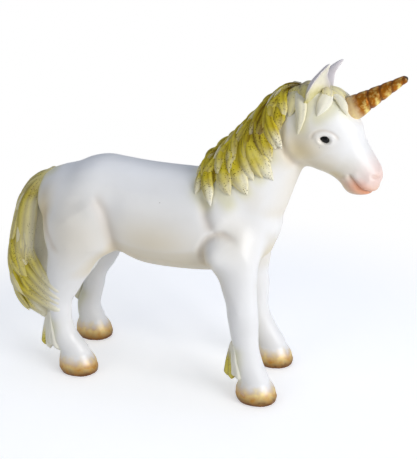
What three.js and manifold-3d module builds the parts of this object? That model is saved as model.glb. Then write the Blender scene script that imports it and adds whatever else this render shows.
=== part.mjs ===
// Rubber toy unicorn: a standing figure of soft painted rubber. Its hollow skins are moulded in
// sections, bonded edge to edge, stuffed with fibre through a hole in the belly and plugged.
// Millimetres, +Z up, nose towards +X, the figure's left towards +Y, origin on the ground under it.
import * as THREE from "three";
import { mergeVertices } from "three/addons/utils/BufferGeometryUtils.js";
import Module from "manifold-3d";

const wasm = await Module();
wasm.setup();

// Rubber and bonding
const SKIN = 2.4; // wall of every hollow section
const GAP = 0.3; // bond line between neighbouring pieces
const PLUG_DIAMETER = 9; // plug in the stuffing hole

// Stance and barrel
const FORE_X = 44.6; // fore feet
const HIND_X = -47.6; // middle of the hind feet
const HIND_STEP = 3.4; // right hind foot ahead of that, left one behind it
const STANCE = 17.5; // feet out from the middle plane
const BARREL_HEIGHT = 79; // axis of the barrel above the ground
const BARREL_DEEP = 24.2; // half height of the barrel
const BARREL_WIDE = 22; // half width of the barrel

// Legs and hooves
const SHOULDER_SPREAD = 12; // top of a foreleg out from the middle plane
const HIP_SPREAD = 10.5; // top of a hind leg out from the middle plane
const FORELEG_DEEP = 13.3; // half depth of a foreleg at the elbow
const FORELEG_WIDE = 8.5; // half width of a foreleg at the elbow
const THIGH_DEEP = 17; // half depth of a thigh
const THIGH_WIDE = 9.6; // half width of a thigh
const FORE_LEAN = -3.5; // middle of the left foreleg ahead of the right one's
const HIND_LEAN = 3; // middle of the left hind leg ahead of the right one's
const ANKLE_DEEP = 7.5; // half depth of a leg where it meets its hoof
const ANKLE_WIDE = 6.3; // half width of a leg where it meets its hoof
const HOOF_LENGTH = 19.5;
const HOOF_WIDTH = 16.4;
const HOOF_HEIGHT = 9.5;

// Neck and head
const NECK_LENGTH = 60;
const NECK_DEEP = 23.5; // half depth of the neck at its root
const NECK_WIDE = 19.5; // half width of the neck at its root
const NECK_SLOPE = 54.5; // degrees above the horizontal
const NECK_ROOT_BACK = 20.6; // root of the neck behind the fore feet
const NECK_ROOT_UP = 7; // root of the neck above the barrel's axis
const HEAD_LENGTH = 54; // from the poll to the lips
const HEAD_BACK = 4.4; // cheek centre back along the neck from its upper end
const HEAD_UNDER = 9.5; // cheek centre below the neck's axis
const NOSE_DROP = 42.5; // degrees that the nose points below the horizontal
const CHEEK_DEEP = 17.3; // half depth from the forehead to the jaw
const CHEEK_WIDE = 13; // half width over the cheeks
const MUZZLE_WIDE = 8.4; // half width over the nostrils

// Horn, ears and eyes
const HORN_LENGTH = 24; // from the forehead to the tip
const HORN_BASE = 9; // diameter at the forehead
const HORN_TIP = 2.6; // diameter at the tip
const HORN_TURNS = 4.5; // turns of the twisted ridge
const HORN_RIDGE = 0.45; // height of the twisted ridge at the forehead
const HORN_RISE = 79; // degrees between the horn and the nose line
const HORN_AHEAD = 4.5; // horn ahead of the cheek centre
const EAR_LENGTH = 17;
const EAR_WIDE = 5; // half width of an ear
const EAR_THICK = 2.6; // half thickness of an ear
const EAR_SPREAD = 7.6; // foot of an ear out from the middle plane
const EAR_BEHIND = 9.5; // foot of an ear behind the cheek centre
const EYE_LENGTH = 5.4;
const EYE_HEIGHT = 4.2;
const EYE_DEPTH = 2.6;
const EYE_AHEAD = 4.3; // eye ahead of the cheek centre
const EYE_UP = 2.9; // eye above the cheek centre

// Mane, forelock, tail and feathers
const LOCK_WIDE = 4.2; // half width of a lock of the mane
const LOCK_THICK = 2.1; // half thickness of a lock of the mane
const CREST_WIDE = 4.6; // half width of the strip along the crest
const CREST_THICK = 3; // half thickness of the strip along the crest
const TAIL_BACK = 27.5; // tail's axis behind the hind feet where it stands out most
const TAIL_DEEP = 7; // half depth of the tail
const TAIL_WIDE = 9; // half width of the tail
const TAIL_LOCK_WIDE = 4.2; // half width of a lock of the tail
const TAIL_LOCK_THICK = 2; // half thickness of a lock of the tail
const FEATHER_WIDE = 2.2; // half width of one lock of a feather
const FEATHER_THICK = 1.6; // half thickness of one lock of a feather
const FEATHER_TOP = 25; // top of a feather above the ground
const FEATHER_DROP = 15; // from the top of a feather to its tips

const right = -1;
const left = 1;
const SIDES = [
  { name: "left", side: left },
  { name: "right", side: right },
];
const UP = new THREE.Vector3(0, 0, 1);
const ACROSS = new THREE.Vector3(0, 1, 0);
const BEHIND = new THREE.Vector3(-1, 0, 0);
const { degToRad: radians, lerp } = THREE.MathUtils;

// Materials
const rubberWhite = new THREE.MeshStandardMaterial({ color: 0xf2efea, roughness: 0.38, metalness: 0 });
const hairYellow = new THREE.MeshStandardMaterial({ color: 0xd8cf62, roughness: 0.45, metalness: 0 });
const paintGold = new THREE.MeshStandardMaterial({ color: 0xc08a2c, roughness: 0.4, metalness: 0.7 });
const paintBlack = new THREE.MeshStandardMaterial({ color: 0x0a0a0a, roughness: 0.2, metalness: 0 });
const fibreWhite = new THREE.MeshStandardMaterial({ color: 0xe9e6df, roughness: 0.95, metalness: 0 });

// Solids: closed geometry in, booleans, closed geometry out
function solidOf(geometry) {
  const bare = geometry.index ? geometry.toNonIndexed() : geometry.clone();
  bare.deleteAttribute("normal");
  bare.deleteAttribute("uv");
  const merged = mergeVertices(bare, 1e-4);
  const vertProperties = merged.attributes.position.array;
  const triVerts = new Uint32Array(merged.index.array);
  return new wasm.Manifold(new wasm.Mesh({ numProp: 3, vertProperties, triVerts }));
}

function geometryOf(solid) {
  const made = solid.getMesh();
  const geometry = new THREE.BufferGeometry();
  geometry.setAttribute("position", new THREE.BufferAttribute(made.vertProperties, 3));
  geometry.setIndex(new THREE.BufferAttribute(made.triVerts, 1));
  geometry.computeVertexNormals();
  return geometry;
}

const cut = (solid, ...tools) => tools.reduce((rest, tool) => rest.subtract(tool), solid);
const join = (...solids) => solids.reduce((whole, next) => whole.add(next));

// Everything that lies below a height
function below(height) {
  const reach = 4 * (FORE_X - HIND_X);
  return solidOf(new THREE.BoxGeometry(reach, reach, 2 * height));
}

// Closes rings of points, all with the same count, into a solid with a flat end at each end ring.
function skinRings(rings) {
  const around = rings[0].length;
  const middle = (ring) => ring.reduce((sum, at) => sum.add(at), new THREE.Vector3()).divideScalar(around);
  const points = [...rings.flat(), middle(rings[0]), middle(rings.at(-1))];
  const [first, last] = [points.length - 2, points.length - 1];
  const end = (rings.length - 1) * around;
  const triangles = [];
  for (let step = 0; step < around; step++) {
    const next = (step + 1) % around;
    for (let low = 0; low < end; low += around) {
      const high = low + around;
      triangles.push(low + step, low + next, high + step, low + next, high + next, high + step);
    }
    triangles.push(first, next, step, last, end + step, end + next);
  }
  const geometry = new THREE.BufferGeometry().setFromPoints(points);
  geometry.setIndex(triangles);
  return solidOf(geometry);
}

// One station of a moulded form: its centre, half width across it and half depth fore and aft
function station(x, y, z, wide, deep) {
  return { at: new THREE.Vector3(x, y, z), size: new THREE.Vector3(wide, deep, 0) };
}

// The smooth form through a list of stations, in the frame of the group that carries it
function form(stations, { frame = new THREE.Matrix4(), level = false, across = ACROSS } = {}) {
  const spine = new THREE.CatmullRomCurve3(stations.map((s) => s.at));
  const sizes = new THREE.CatmullRomCurve3(stations.map((s) => s.size));
  return { spine, sizes, frame, level, across, spans: stations.length - 1 };
}

function ringFrame(shape, u) {
  const along = shape.level ? UP.clone().negate() : shape.spine.getTangent(u);
  const side = shape.across.clone().addScaledVector(along, -shape.across.dot(along)).normalize();
  return { along, side, front: new THREE.Vector3().crossVectors(along, side) };
}

// A point of a form's surface at share u and angle (0 at the side, 90 degrees at the front), lifted
function surfacePoint(shape, u, degrees, lift = 0) {
  const [wide, deep] = shape.sizes.getPoint(u).toArray();
  const { side, front } = ringFrame(shape, u);
  return shape.spine
    .getPoint(u)
    .addScaledVector(side, (wide + lift) * Math.cos(radians(degrees)))
    .addScaledVector(front, (deep + lift) * Math.sin(radians(degrees)))
    .applyMatrix4(shape.frame);
}

const spinePoint = (shape, u) => shape.spine.getPoint(u).applyMatrix4(shape.frame);

// Skins a form with rings of points. Grow moves the surface out or in, trim takes that much off the
// length at each end, and push moves the ends out or in.
function loft(shape, { around = 16, perSpan = 1, grow = 0, trim = 0, push = grow } = {}) {
  const count = shape.spans * perSpan;
  const off = trim / shape.spine.getLength();
  const ends = [shape.spine.getUtoTmapping(off), shape.spine.getUtoTmapping(1 - off)];
  const rings = [];
  for (let i = 0; i <= count; i++) {
    const u = lerp(...ends, i / count);
    const shift = i === 0 ? -push : i === count ? push : 0;
    const along = ringFrame(shape, u).along.transformDirection(shape.frame);
    const ring = [];
    for (let step = 0; step < around; step++) {
      const point = surfacePoint(shape, u, (360 * step) / around, grow);
      ring.push(point.addScaledVector(along, shift));
    }
    rings.push(ring);
  }
  return skinRings(rings);
}

// A lock of moulded hair: flat, fullest in the middle, drawn to a point, along a list of points.
// Normal points away from what the lock lies on.
const LOCK_SWELL = [0.65, 1, 0.78, 0.12];
function lock(points, normal, wide, thick, grow = 0) {
  const curve = new THREE.CatmullRomCurve3(points);
  const stations = LOCK_SWELL.map((share, i) => {
    const at = curve.getPoint(i / (LOCK_SWELL.length - 1));
    return station(at.x, at.y, at.z, wide * share, thick * share);
  });
  const across = new THREE.Vector3().crossVectors(normal, curve.getTangent(0.5));
  return loft(form(stations, { across }), { around: 6, grow });
}

// A lock that lies on a form: its path is a list of [share u, degrees, lift in lock thicknesses].
function lockOn(shape, path, wide, thick, grow = 0) {
  const points = path.map(([u, degrees, lift]) => surfacePoint(shape, u, degrees, lift * thick));
  const [u, degrees] = path[Math.floor(path.length / 2)];
  const normal = surfacePoint(shape, u, degrees).sub(spinePoint(shape, u)).normalize();
  return lock(points, normal, wide, thick, grow);
}

// The figure, with a group for the neck that carries a group for the head
const figure = new THREE.Group();
const neckGroup = new THREE.Group();
const headGroup = new THREE.Group();
neckGroup.position.set(FORE_X - NECK_ROOT_BACK, 0, BARREL_HEIGHT + NECK_ROOT_UP);
neckGroup.rotation.y = -radians(NECK_SLOPE);
headGroup.position.set(NECK_LENGTH - HEAD_BACK, 0, -HEAD_UNDER);
headGroup.rotation.y = radians(NECK_SLOPE + NOSE_DROP);
figure.add(neckGroup);
neckGroup.add(headGroup);
figure.updateMatrixWorld(true);
const neckFrame = neckGroup.matrixWorld.clone();
const headFrame = headGroup.matrixWorld.clone();

// Adds a piece to a group. The solid is in the figure's frame, the mesh in its group's own frame.
function addPiece(group, name, solid, material) {
  const toGroup = group.matrixWorld.clone().invert();
  const mesh = new THREE.Mesh(geometryOf(solid).applyMatrix4(toGroup), material);
  mesh.name = name;
  group.add(mesh);
}

// Barrel: rump, flank, ribs, shoulder and breast. Each ring has its place between the hind and the
// fore feet, its rise above the axis, and its width and depth as shares of the barrel's.
const barrel = form(
  [
    [-0.211, 0.33, 0.14, 0.08],
    [-0.179, 0.29, 0.48, 0.33],
    [-0.108, 0.21, 0.75, 0.58],
    [0, 0.145, 0.91, 0.77],
    [0.13, 0.124, 0.98, 0.96],
    [0.33, 0.033, 1, 0.99],
    [0.5, 0, 1, 1],
    [0.66, 0.012, 1, 0.99],
    [0.805, 0.05, 0.93, 0.97],
    [0.924, 0.062, 0.8, 0.83],
    [1, 0.041, 0.61, 0.62],
    [1.046, 0.041, 0.36, 0.35],
    [1.061, 0.041, 0.11, 0.1],
  ].map(([along, rise, wide, deep]) => {
    const z = BARREL_HEIGHT + rise * BARREL_DEEP;
    return station(lerp(HIND_X, FORE_X, along), 0, z, wide * BARREL_WIDE, deep * BARREL_DEEP);
  }),
);

// Neck: from inside the shoulder to inside the skull
const neck = form(
  [
    [0, -0.11, 1, 1],
    [0.275, -0.07, 0.85, 0.85],
    [0.525, -0.04, 0.66, 0.68],
    [0.79, 0, 0.55, 0.56],
    [1, 0, 0.46, 0.45],
    [1.05, 0, 0.26, 0.26],
  ].map(([along, rise, wide, deep]) =>
    station(along * NECK_LENGTH, 0, rise * NECK_DEEP, wide * NECK_WIDE, deep * NECK_DEEP),
  ),
  { frame: neckFrame },
);

// Head: skull, cheeks, nose and muzzle along the nose line, from the poll to the lips
const head = form(
  [
    [-0.333, 0.145, 0.23 * CHEEK_WIDE, 0.2],
    [-0.272, 0.145, 0.61 * CHEEK_WIDE, 0.58],
    [-0.148, 0.046, 0.885 * CHEEK_WIDE, 0.9],
    [0, 0.012, CHEEK_WIDE, 1],
    [0.172, 0.029, 0.87 * CHEEK_WIDE, 0.83],
    [0.326, 0.04, (CHEEK_WIDE + MUZZLE_WIDE) * 0.42, 0.62],
    [0.448, 0.012, 0.98 * MUZZLE_WIDE, 0.54],
    [0.559, -0.023, MUZZLE_WIDE, 0.48],
    [0.637, -0.035, 0.76 * MUZZLE_WIDE, 0.335],
    [0.667, -0.035, 0.36 * MUZZLE_WIDE, 0.145],
  ].map(([along, rise, wide, deep]) =>
    station(along * HEAD_LENGTH, 0, rise * CHEEK_DEEP, wide, deep * CHEEK_DEEP),
  ),
  { frame: headFrame },
);

// Feet: where each stands, and how far the middle of its leg leans ahead
const feet = [
  { name: "fore_left", side: left, fore: true, x: FORE_X, lean: FORE_LEAN },
  { name: "fore_right", side: right, fore: true, x: FORE_X, lean: 0 },
  { name: "hind_left", side: left, fore: false, x: HIND_X - HIND_STEP, lean: HIND_LEAN },
  { name: "hind_right", side: right, fore: false, x: HIND_X + HIND_STEP, lean: 0 },
];

// Heights that follow the barrel: 0 is the ground, 1 the belly, 2 the barrel's axis, 3 its back.
function heightAt(level) {
  const belly = BARREL_HEIGHT - BARREL_DEEP;
  return belly * Math.min(level, 1) + BARREL_DEEP * Math.max(level - 1, 0);
}

// Legs, from inside the barrel to inside the hoof. Each ring has its height as above, its place
// ahead of the foot and its width and depth as shares of the leg's at its fullest, how far it has
// come out from the body to the stance, and its share of the lean.
const FORELEG = [
  [2.372, -1.015, 0.59, 0.6, 0, 0],
  [1.628, -0.94, 1, 1, 0.65, 0],
  [1.174, -0.714, 0.89, 0.75, 0.9, 0.5],
  [0.894, -0.6, 0.765, 0.565, 1, 1],
  [0.693, -0.526, 0.695, 0.52, 1, 1],
  [0.493, -0.436, 0.62, 0.466, 1, 1],
  [0.329, -0.3, 0.66, 0.466, 1, 0.5],
];
const HIND_LEG = [
  [2.578, 0.15, 0.45, 0.7, 0, 0],
  [1.967, 0.3, 0.95, 1, 0.65, 0],
  [1.478, 0.38, 1, 0.97, 0.8, 0],
  [1.086, 0.26, 0.83, 0.72, 0.95, 0.3],
  [0.858, 0.03, 0.67, 0.48, 1, 1],
  [0.685, -0.247, 0.56, 0.353, 1, 1],
  [0.493, -0.282, 0.5, 0.33, 1, 0.5],
  [0.329, -0.294, 0.54, 0.353, 1, 0],
];

function legForm({ side, fore, x, lean }) {
  const [rows, wideMost, deepMost] = fore
    ? [FORELEG, FORELEG_WIDE, FORELEG_DEEP]
    : [HIND_LEG, THIGH_WIDE, THIGH_DEEP];
  const top = fore ? SHOULDER_SPREAD : HIP_SPREAD;
  const start = fore ? FORE_X : HIND_X;
  const stations = rows.map(([height, ahead, wide, deep, out, leaning], i) => {
    const nearFoot = i === rows.length - 1 ? (x - start) / 2 : 0;
    return station(
      start + ahead * deepMost + leaning * lean + nearFoot,
      side * lerp(top, STANCE, out),
      heightAt(height),
      wide * wideMost,
      deep * deepMost,
    );
  });
  const ankleX = x - HOOF_LENGTH / 16;
  stations.push(station(ankleX, side * STANCE, HOOF_HEIGHT + GAP, ANKLE_WIDE, ANKLE_DEEP));
  stations.push(station(ankleX, side * STANCE, HOOF_HEIGHT / 2, ANKLE_WIDE, ANKLE_DEEP));
  return form(stations);
}

// Hooves: level rings from the coronet, as wide as the ankle above it, down to the flat sole
function hoofForm({ side, x }) {
  const rings = [
    [1, ANKLE_WIDE, ANKLE_DEEP],
    [0.6, lerp(ANKLE_WIDE, HOOF_WIDTH / 2, 0.8), lerp(ANKLE_DEEP, HOOF_LENGTH / 2, 0.7)],
    [0.25, HOOF_WIDTH / 2, HOOF_LENGTH / 2],
    [0, 0.91 * (HOOF_WIDTH / 2), 0.91 * (HOOF_LENGTH / 2)],
  ];
  const stations = rings.map(([height, wide, deep]) =>
    station(x - (height * HOOF_LENGTH) / 16, side * STANCE, height * HOOF_HEIGHT, wide, deep),
  );
  return form(stations, { level: true });
}

// How far back a leg reaches at a height
function heelX(leg, z) {
  const steps = 120;
  const back = Array.from({ length: steps + 1 }, (_, i) => surfacePoint(leg, i / steps, -90));
  return back.reduce((best, at) => (Math.abs(at.z - z) < Math.abs(best.z - z) ? at : best)).x;
}

// Feathers: three locks of hair that hang behind a fetlock, the middle one furthest back
function featherSolid({ side, leg }) {
  const hang = [
    [1, 0],
    [-0.3, 0.3],
    [-1.4, 0.7],
    [-1.3, 1],
  ];
  const locks = [-1, 0, 1].map((place) => {
    const points = hang.map(([out, drop]) => {
      const z = FEATHER_TOP - drop * FEATHER_DROP;
      const x = heelX(leg, z) + (out + 0.7 * Math.abs(place)) * FEATHER_THICK;
      return new THREE.Vector3(x, side * STANCE + 1.35 * place * FEATHER_WIDE, z);
    });
    return lock(points, BEHIND, FEATHER_WIDE, FEATHER_THICK);
  });
  return join(...locks);
}

// Horn: a tapered cone with one ridge that winds round it, its root through the skull's skin
function hornSolid(grow = 0) {
  const around = 10;
  const count = 22;
  const root = 3 * SKIN;
  const place = new THREE.Matrix4()
    .makeTranslation(HORN_AHEAD, 0, 0.96 * CHEEK_DEEP)
    .multiply(new THREE.Matrix4().makeRotationY(radians(90 - HORN_RISE)))
    .premultiply(headFrame);
  const point = (x, y, z) => new THREE.Vector3(x, y, z).applyMatrix4(place);
  const rings = [];
  for (let i = 0; i <= count; i++) {
    const out = lerp(-root, HORN_LENGTH, i / count);
    const share = Math.max(0, out) / HORN_LENGTH;
    const radius = lerp(HORN_BASE, HORN_TIP, share) / 2;
    const ring = [];
    for (let step = 0; step < around; step++) {
      const turn = step / around - HORN_TURNS * share;
      const groove = share > 0 ? HORN_RIDGE * (radius / (HORN_BASE / 2)) * (turn - Math.floor(turn)) : 0;
      const angle = (2 * Math.PI * step) / around;
      const reach = radius - groove + grow;
      ring.push(point(reach * Math.cos(angle), reach * Math.sin(angle), out));
    }
    rings.push(ring);
  }
  return skinRings(rings);
}

// Ears: leaves that stand up and back from the poll, scooped on the face that looks out and ahead
function earSolid(side, grow = 0) {
  const across = new THREE.Vector3(0.85, -side * 0.5, 0);
  const facing = new THREE.Vector3(0.5, side * 0.85, 0);
  const foot = new THREE.Vector3(-EAR_BEHIND, side * EAR_SPREAD, 0.58 * CHEEK_DEEP);
  const tip = foot.clone().add(new THREE.Vector3(-0.44, side * 0.13, 0.87).multiplyScalar(EAR_LENGTH));
  const leaf = (rows, shift) => {
    const stations = rows.map(([share, wide, thick]) => {
      const at = foot.clone().lerp(tip, share).addScaledVector(facing, shift);
      return station(at.x, at.y, at.z, wide * EAR_WIDE, thick * EAR_THICK);
    });
    return loft(form(stations, { frame: headFrame, across }), { around: 10, grow });
  };
  const outer = leaf(
    [
      [0, 0.7, 1],
      [0.3, 1, 1],
      [0.65, 0.72, 0.8],
      [0.93, 0.22, 0.5],
      [1, 0.06, 0.2],
    ],
    0,
  );
  const scoop = leaf(
    [
      [0.12, 0.3, 0.6],
      [0.35, 0.72, 1],
      [0.65, 0.48, 0.8],
      [0.86, 0.1, 0.4],
    ],
    EAR_THICK,
  );
  return grow > 0 ? outer : cut(outer, scoop);
}

// Eyes: flat oval beads let into the side of the head
function eyeSolid(side, grow = 0) {
  const bead = new THREE.SphereGeometry(0.5, 12, 6);
  bead.scale(EYE_LENGTH + 2 * grow, EYE_DEPTH + 2 * grow, EYE_HEIGHT + 2 * grow);
  bead.translate(EYE_AHEAD, side * (CHEEK_WIDE - EYE_DEPTH / 2), EYE_UP);
  return solidOf(bead.applyMatrix4(headFrame));
}

// Mane: a strip from the withers along the crest to the poll
function crestSolid(grow = 0) {
  const rise = 0.1 * CREST_THICK;
  const places = [
    [neck, 0.12, 0.4],
    [neck, 0.28, 1],
    [neck, 0.48, 1],
    [neck, 0.68, 1],
    [head, 0.1, 1],
    [head, 0.19, 0.5],
  ];
  const stations = places.map(([shape, u, end]) => {
    const at = surfacePoint(shape, u, 90, rise);
    return station(at.x, at.y, at.z, CREST_WIDE * end, CREST_THICK * end);
  });
  return loft(form(stations), { around: 8, perSpan: 2, grow });
}

// Mane: two rows of locks on a side that sweep down the neck, and one behind the ear
function maneSolid(side) {
  const lean = (degrees) => 90 - side * degrees;
  const tips = [
    [0.05, 66],
    [0.13, 86],
    [0.23, 93],
    [0.34, 98],
    [0.46, 94],
    [0.57, 76],
  ];
  const lower = tips.map(([tip, drop]) => {
    const path = [
      [tip + 0.15, lean(14), 0.3],
      [tip + 0.12, lean(drop * 0.45), 0.7],
      [tip + 0.04, lean(drop * 0.78), 0.7],
      [tip, lean(drop), 0.1],
    ];
    return lockOn(neck, path, LOCK_WIDE, LOCK_THICK);
  });
  const upper = tips.map(([tip]) => {
    const path = [
      [tip + 0.19, lean(8), 0.8],
      [tip + 0.17, lean(28), 1.3],
      [tip + 0.12, lean(46), 1.3],
      [tip + 0.09, lean(60), 0.5],
    ];
    return lockOn(neck, path, 0.85 * LOCK_WIDE, 0.9 * LOCK_THICK);
  });
  const behindEar = [
    [0.085, lean(28), 0.3],
    [0.1, lean(52), 0.8],
    [0.16, lean(76), 0.8],
    [0.25, lean(95), 0.1],
  ];
  const roots = [0.13, 0.3, 0.5, 0.7].map((u) => surfacePoint(neck, u, lean(26), 0.3 * LOCK_THICK));
  roots.push(surfacePoint(head, 0.09, lean(30), 0.3 * LOCK_THICK));
  const strip = form(roots.map((at) => station(at.x, at.y, at.z, LOCK_WIDE, LOCK_THICK)));
  const behind = lockOn(head, behindEar, 0.75 * LOCK_WIDE, 0.9 * LOCK_THICK);
  return join(loft(strip, { around: 6 }), ...lower, ...upper, behind);
}

// Forelock: two locks a side that part between the ears and fall over the forehead
function forelockSolid() {
  const locks = SIDES.flatMap(({ side }) => {
    const lean = (degrees) => 90 - side * degrees;
    const outer = [
      [0.19, lean(4), 0.4],
      [0.22, lean(28), 0.9],
      [0.25, lean(48), 0.8],
      [0.27, lean(68), 0.1],
    ];
    const inner = [
      [0.19, lean(2), 0.4],
      [0.25, lean(12), 0.9],
      [0.31, lean(22), 0.7],
      [0.37, lean(27), 0.1],
    ];
    return [
      lockOn(head, outer, 0.8 * LOCK_WIDE, LOCK_THICK),
      lockOn(head, inner, 0.7 * LOCK_WIDE, LOCK_THICK),
    ];
  });
  return join(...locks);
}

// Tail: a thick switch that leaves the rump, hangs behind the thighs and ends on the right hock.
// Each ring has its place behind the hind feet and to the right, its height, width and depth.
const tail = form(
  [
    [0.345, 0, 2.62, 0.55, 0.62],
    [0.618, 0, 2.424, 0.72, 0.76],
    [0.77, 0.03, 2.124, 0.89, 0.86],
    [0.867, 0.086, 1.628, 0.98, 0.9],
    [0.95, 0.2, 1.132, 1, 0.94],
    [0.955, 0.343, 0.858, 0.95, 1],
    [0.845, 0.543, 0.685, 0.84, 0.97],
    [0.648, 0.743, 0.557, 0.66, 0.76],
    [0.38, 0.93, 0.502, 0.39, 0.42],
  ].map(([back, aside, height, wide, deep]) =>
    station(
      HIND_X - back * TAIL_BACK,
      right * aside * STANCE,
      heightAt(height),
      wide * TAIL_WIDE,
      deep * TAIL_DEEP,
    ),
  ),
);

// A tier of locks on the tail: places are degrees round it from the middle of its back
function tailTier(from, to, places, grow = 0) {
  const locks = places.map((place) => {
    const end = to - Math.abs(place) * 0.0008;
    const path = [
      [from, 0.7 * place - 90, 0.1],
      [lerp(from, end, 0.35), place - 90, 0.5],
      [lerp(from, end, 0.7), place - 90, 0.6],
      [end, 0.9 * place - 90, 0.1],
    ];
    return lockOn(tail, path, TAIL_LOCK_WIDE, TAIL_LOCK_THICK, grow);
  });
  return join(...locks);
}
const UPPER_TIER = [0.09, 0.62, [-76, -38, 0, 38, 76]];
const LOWER_TIER = [0.5, 0.99, [-60, -20, 20, 60]];

const insideAround = 8; // points round the inside of a form

// The main forms: as moulded, grown by the bond line to cut their neighbours, and hollow inside
const moulded = (shape, around, perSpan = 1) => ({
  solid: loft(shape, { around, perSpan }),
  grown: loft(shape, { around, perSpan, grow: GAP }),
  hollow: loft(shape, { around: insideAround, grow: -SKIN, trim: 2 * SKIN, push: 0 }),
  filling: loft(shape, { around: insideAround, grow: -SKIN - GAP, trim: 2 * SKIN, push: -GAP }),
});
const barrelForm = moulded(barrel, 18, 2);
const neckForm = moulded(neck, 16, 2);
const headForm = moulded(head, 16);
const tailSolid = loft(tail, { around: 10 });
const tailGrown = loft(tail, { around: 10, grow: GAP });
for (const foot of feet) {
  foot.leg = legForm(foot);
  foot.form = moulded(foot.leg, 12);
  foot.hoof = hoofForm(foot);
}
const legHollows = feet.map((foot) => foot.form.hollow);

// Stuffing hole and its plug, in the belly
const plugSolid = (diameter) => {
  const bore = new THREE.CylinderGeometry(diameter / 2, diameter / 2, 2 * BARREL_DEEP, 20);
  bore.rotateX(Math.PI / 2).translate((FORE_X + HIND_X) / 2, 0, BARREL_HEIGHT - BARREL_DEEP);
  return solidOf(bore);
};
const barrelWall = cut(barrelForm.solid, barrelForm.hollow);
const barrelOpenings = [neckForm.hollow, ...legHollows, plugSolid(PLUG_DIAMETER + 2 * GAP)];
addPiece(figure, "barrel", cut(barrelWall, ...barrelOpenings), rubberWhite);
addPiece(figure, "belly_plug", plugSolid(PLUG_DIAMETER).intersect(barrelWall), rubberWhite);

const neckTools = [neckForm.hollow, barrelForm.grown, headForm.grown, ...legHollows];
addPiece(neckGroup, "neck", cut(neckForm.solid, ...neckTools), rubberWhite);

const headSockets = [hornSolid(GAP), ...SIDES.map(({ side }) => eyeSolid(side, GAP))];
const headShell = cut(headForm.solid, headForm.hollow, neckForm.hollow, ...headSockets);
addPiece(headGroup, "head", headShell, rubberWhite);
addPiece(headGroup, "horn", cut(hornSolid(), headForm.hollow), paintGold);

const earsGrown = SIDES.map(({ side }) => earSolid(side, GAP));
for (const { name, side } of SIDES) {
  addPiece(headGroup, `ear_${name}`, cut(earSolid(side), headForm.grown), rubberWhite);
  addPiece(headGroup, `eye_${name}`, eyeSolid(side), paintBlack);
}

const underMane = [neckForm.grown, headForm.grown, barrelForm.grown];
addPiece(neckGroup, "mane_crest", cut(crestSolid(), ...underMane, ...earsGrown), hairYellow);
for (const { name, side } of SIDES) {
  const mane = cut(maneSolid(side), ...underMane, crestSolid(GAP), ...earsGrown);
  addPiece(neckGroup, `mane_${name}`, mane, hairYellow);
}
const forelock = cut(forelockSolid(), headForm.grown, crestSolid(GAP), hornSolid(GAP), ...earsGrown);
addPiece(headGroup, "forelock", forelock, hairYellow);

const underTail = [barrelForm.grown, ...feet.map((foot) => foot.form.grown)];
const upperTier = tailTier(...UPPER_TIER);
const lowerTier = tailTier(...LOWER_TIER);
addPiece(figure, "tail", cut(tailSolid, ...underTail), hairYellow);
addPiece(figure, "tail_upper_locks", cut(upperTier, tailGrown, ...underTail), hairYellow);
const lowerTools = [tailGrown, tailTier(...UPPER_TIER, GAP), ...underTail];
addPiece(figure, "tail_lower_locks", cut(lowerTier, ...lowerTools), hairYellow);

for (const foot of feet) {
  const legTools = [foot.form.hollow, barrelForm.grown, neckForm.grown, below(HOOF_HEIGHT + GAP)];
  addPiece(figure, `leg_${foot.name}`, cut(foot.form.solid, ...legTools), rubberWhite);
  addPiece(figure, `hoof_${foot.name}`, loft(foot.hoof, { around: 18 }), paintGold);
  const hoofGrown = loft(foot.hoof, { around: 18, grow: GAP });
  const feather = cut(featherSolid(foot), foot.form.grown, hoofGrown, tailGrown);
  addPiece(figure, `feather_${foot.name}`, feather, hairYellow);
}

const fillings = [barrelForm, neckForm, headForm, ...feet.map((foot) => foot.form)];
const stuffing = join(...fillings.map((part) => part.filling));
addPiece(figure, "stuffing", cut(stuffing, below(HOOF_HEIGHT + 2 * GAP)), fibreWhite);

// The toy stands on the ground with the middle of its box over the origin
const toy = new THREE.Group();
const box = new THREE.Box3().setFromObject(figure, true);
const middle = box.getCenter(new THREE.Vector3());
figure.position.set(-middle.x, -middle.y, -box.min.z);
toy.add(figure);

export default toy;
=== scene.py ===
"""Looks of a rubber toy unicorn: a stuffed white skin with painted hair, horn, hooves and eyes.

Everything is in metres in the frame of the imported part: nose towards +X, left towards +Y, up +Z.
"""
from functools import partial
from math import cos, pi, radians, sin, sqrt

import bmesh
import bpy
import numpy as np
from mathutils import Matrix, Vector
from mathutils.bvhtree import BVHTree


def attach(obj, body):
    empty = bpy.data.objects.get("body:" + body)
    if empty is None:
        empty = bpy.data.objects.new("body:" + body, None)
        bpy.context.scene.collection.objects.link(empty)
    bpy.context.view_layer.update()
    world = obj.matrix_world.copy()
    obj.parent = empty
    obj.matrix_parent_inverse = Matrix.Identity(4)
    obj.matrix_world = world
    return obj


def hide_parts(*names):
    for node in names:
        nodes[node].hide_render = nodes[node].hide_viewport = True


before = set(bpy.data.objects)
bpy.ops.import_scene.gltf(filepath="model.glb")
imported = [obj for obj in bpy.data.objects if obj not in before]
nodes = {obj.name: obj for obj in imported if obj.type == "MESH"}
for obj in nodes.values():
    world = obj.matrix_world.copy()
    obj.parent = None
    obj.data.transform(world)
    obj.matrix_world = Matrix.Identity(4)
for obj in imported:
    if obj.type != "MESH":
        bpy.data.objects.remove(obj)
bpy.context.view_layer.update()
MM = 0.001

# Stuffing: loose polyester fibre, pushed in through the belly until the skins are full. It is one soft
# mass inside the barrel, neck, head and legs, lumpy where its tufts press on the rubber.
TUFT = 9 * MM
TUFT_RELIEF = 0.25 * MM
STUFFING_GRID = 1.5 * MM
WELD = 0.001 * MM
RGBA = {"data_type": "RGBA"}


def placed(name, data):
    """A new object of this mesh, lamp or camera, in the scene."""
    made = bpy.data.objects.new(name, data)
    bpy.context.scene.collection.objects.link(made)
    return made


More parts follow.
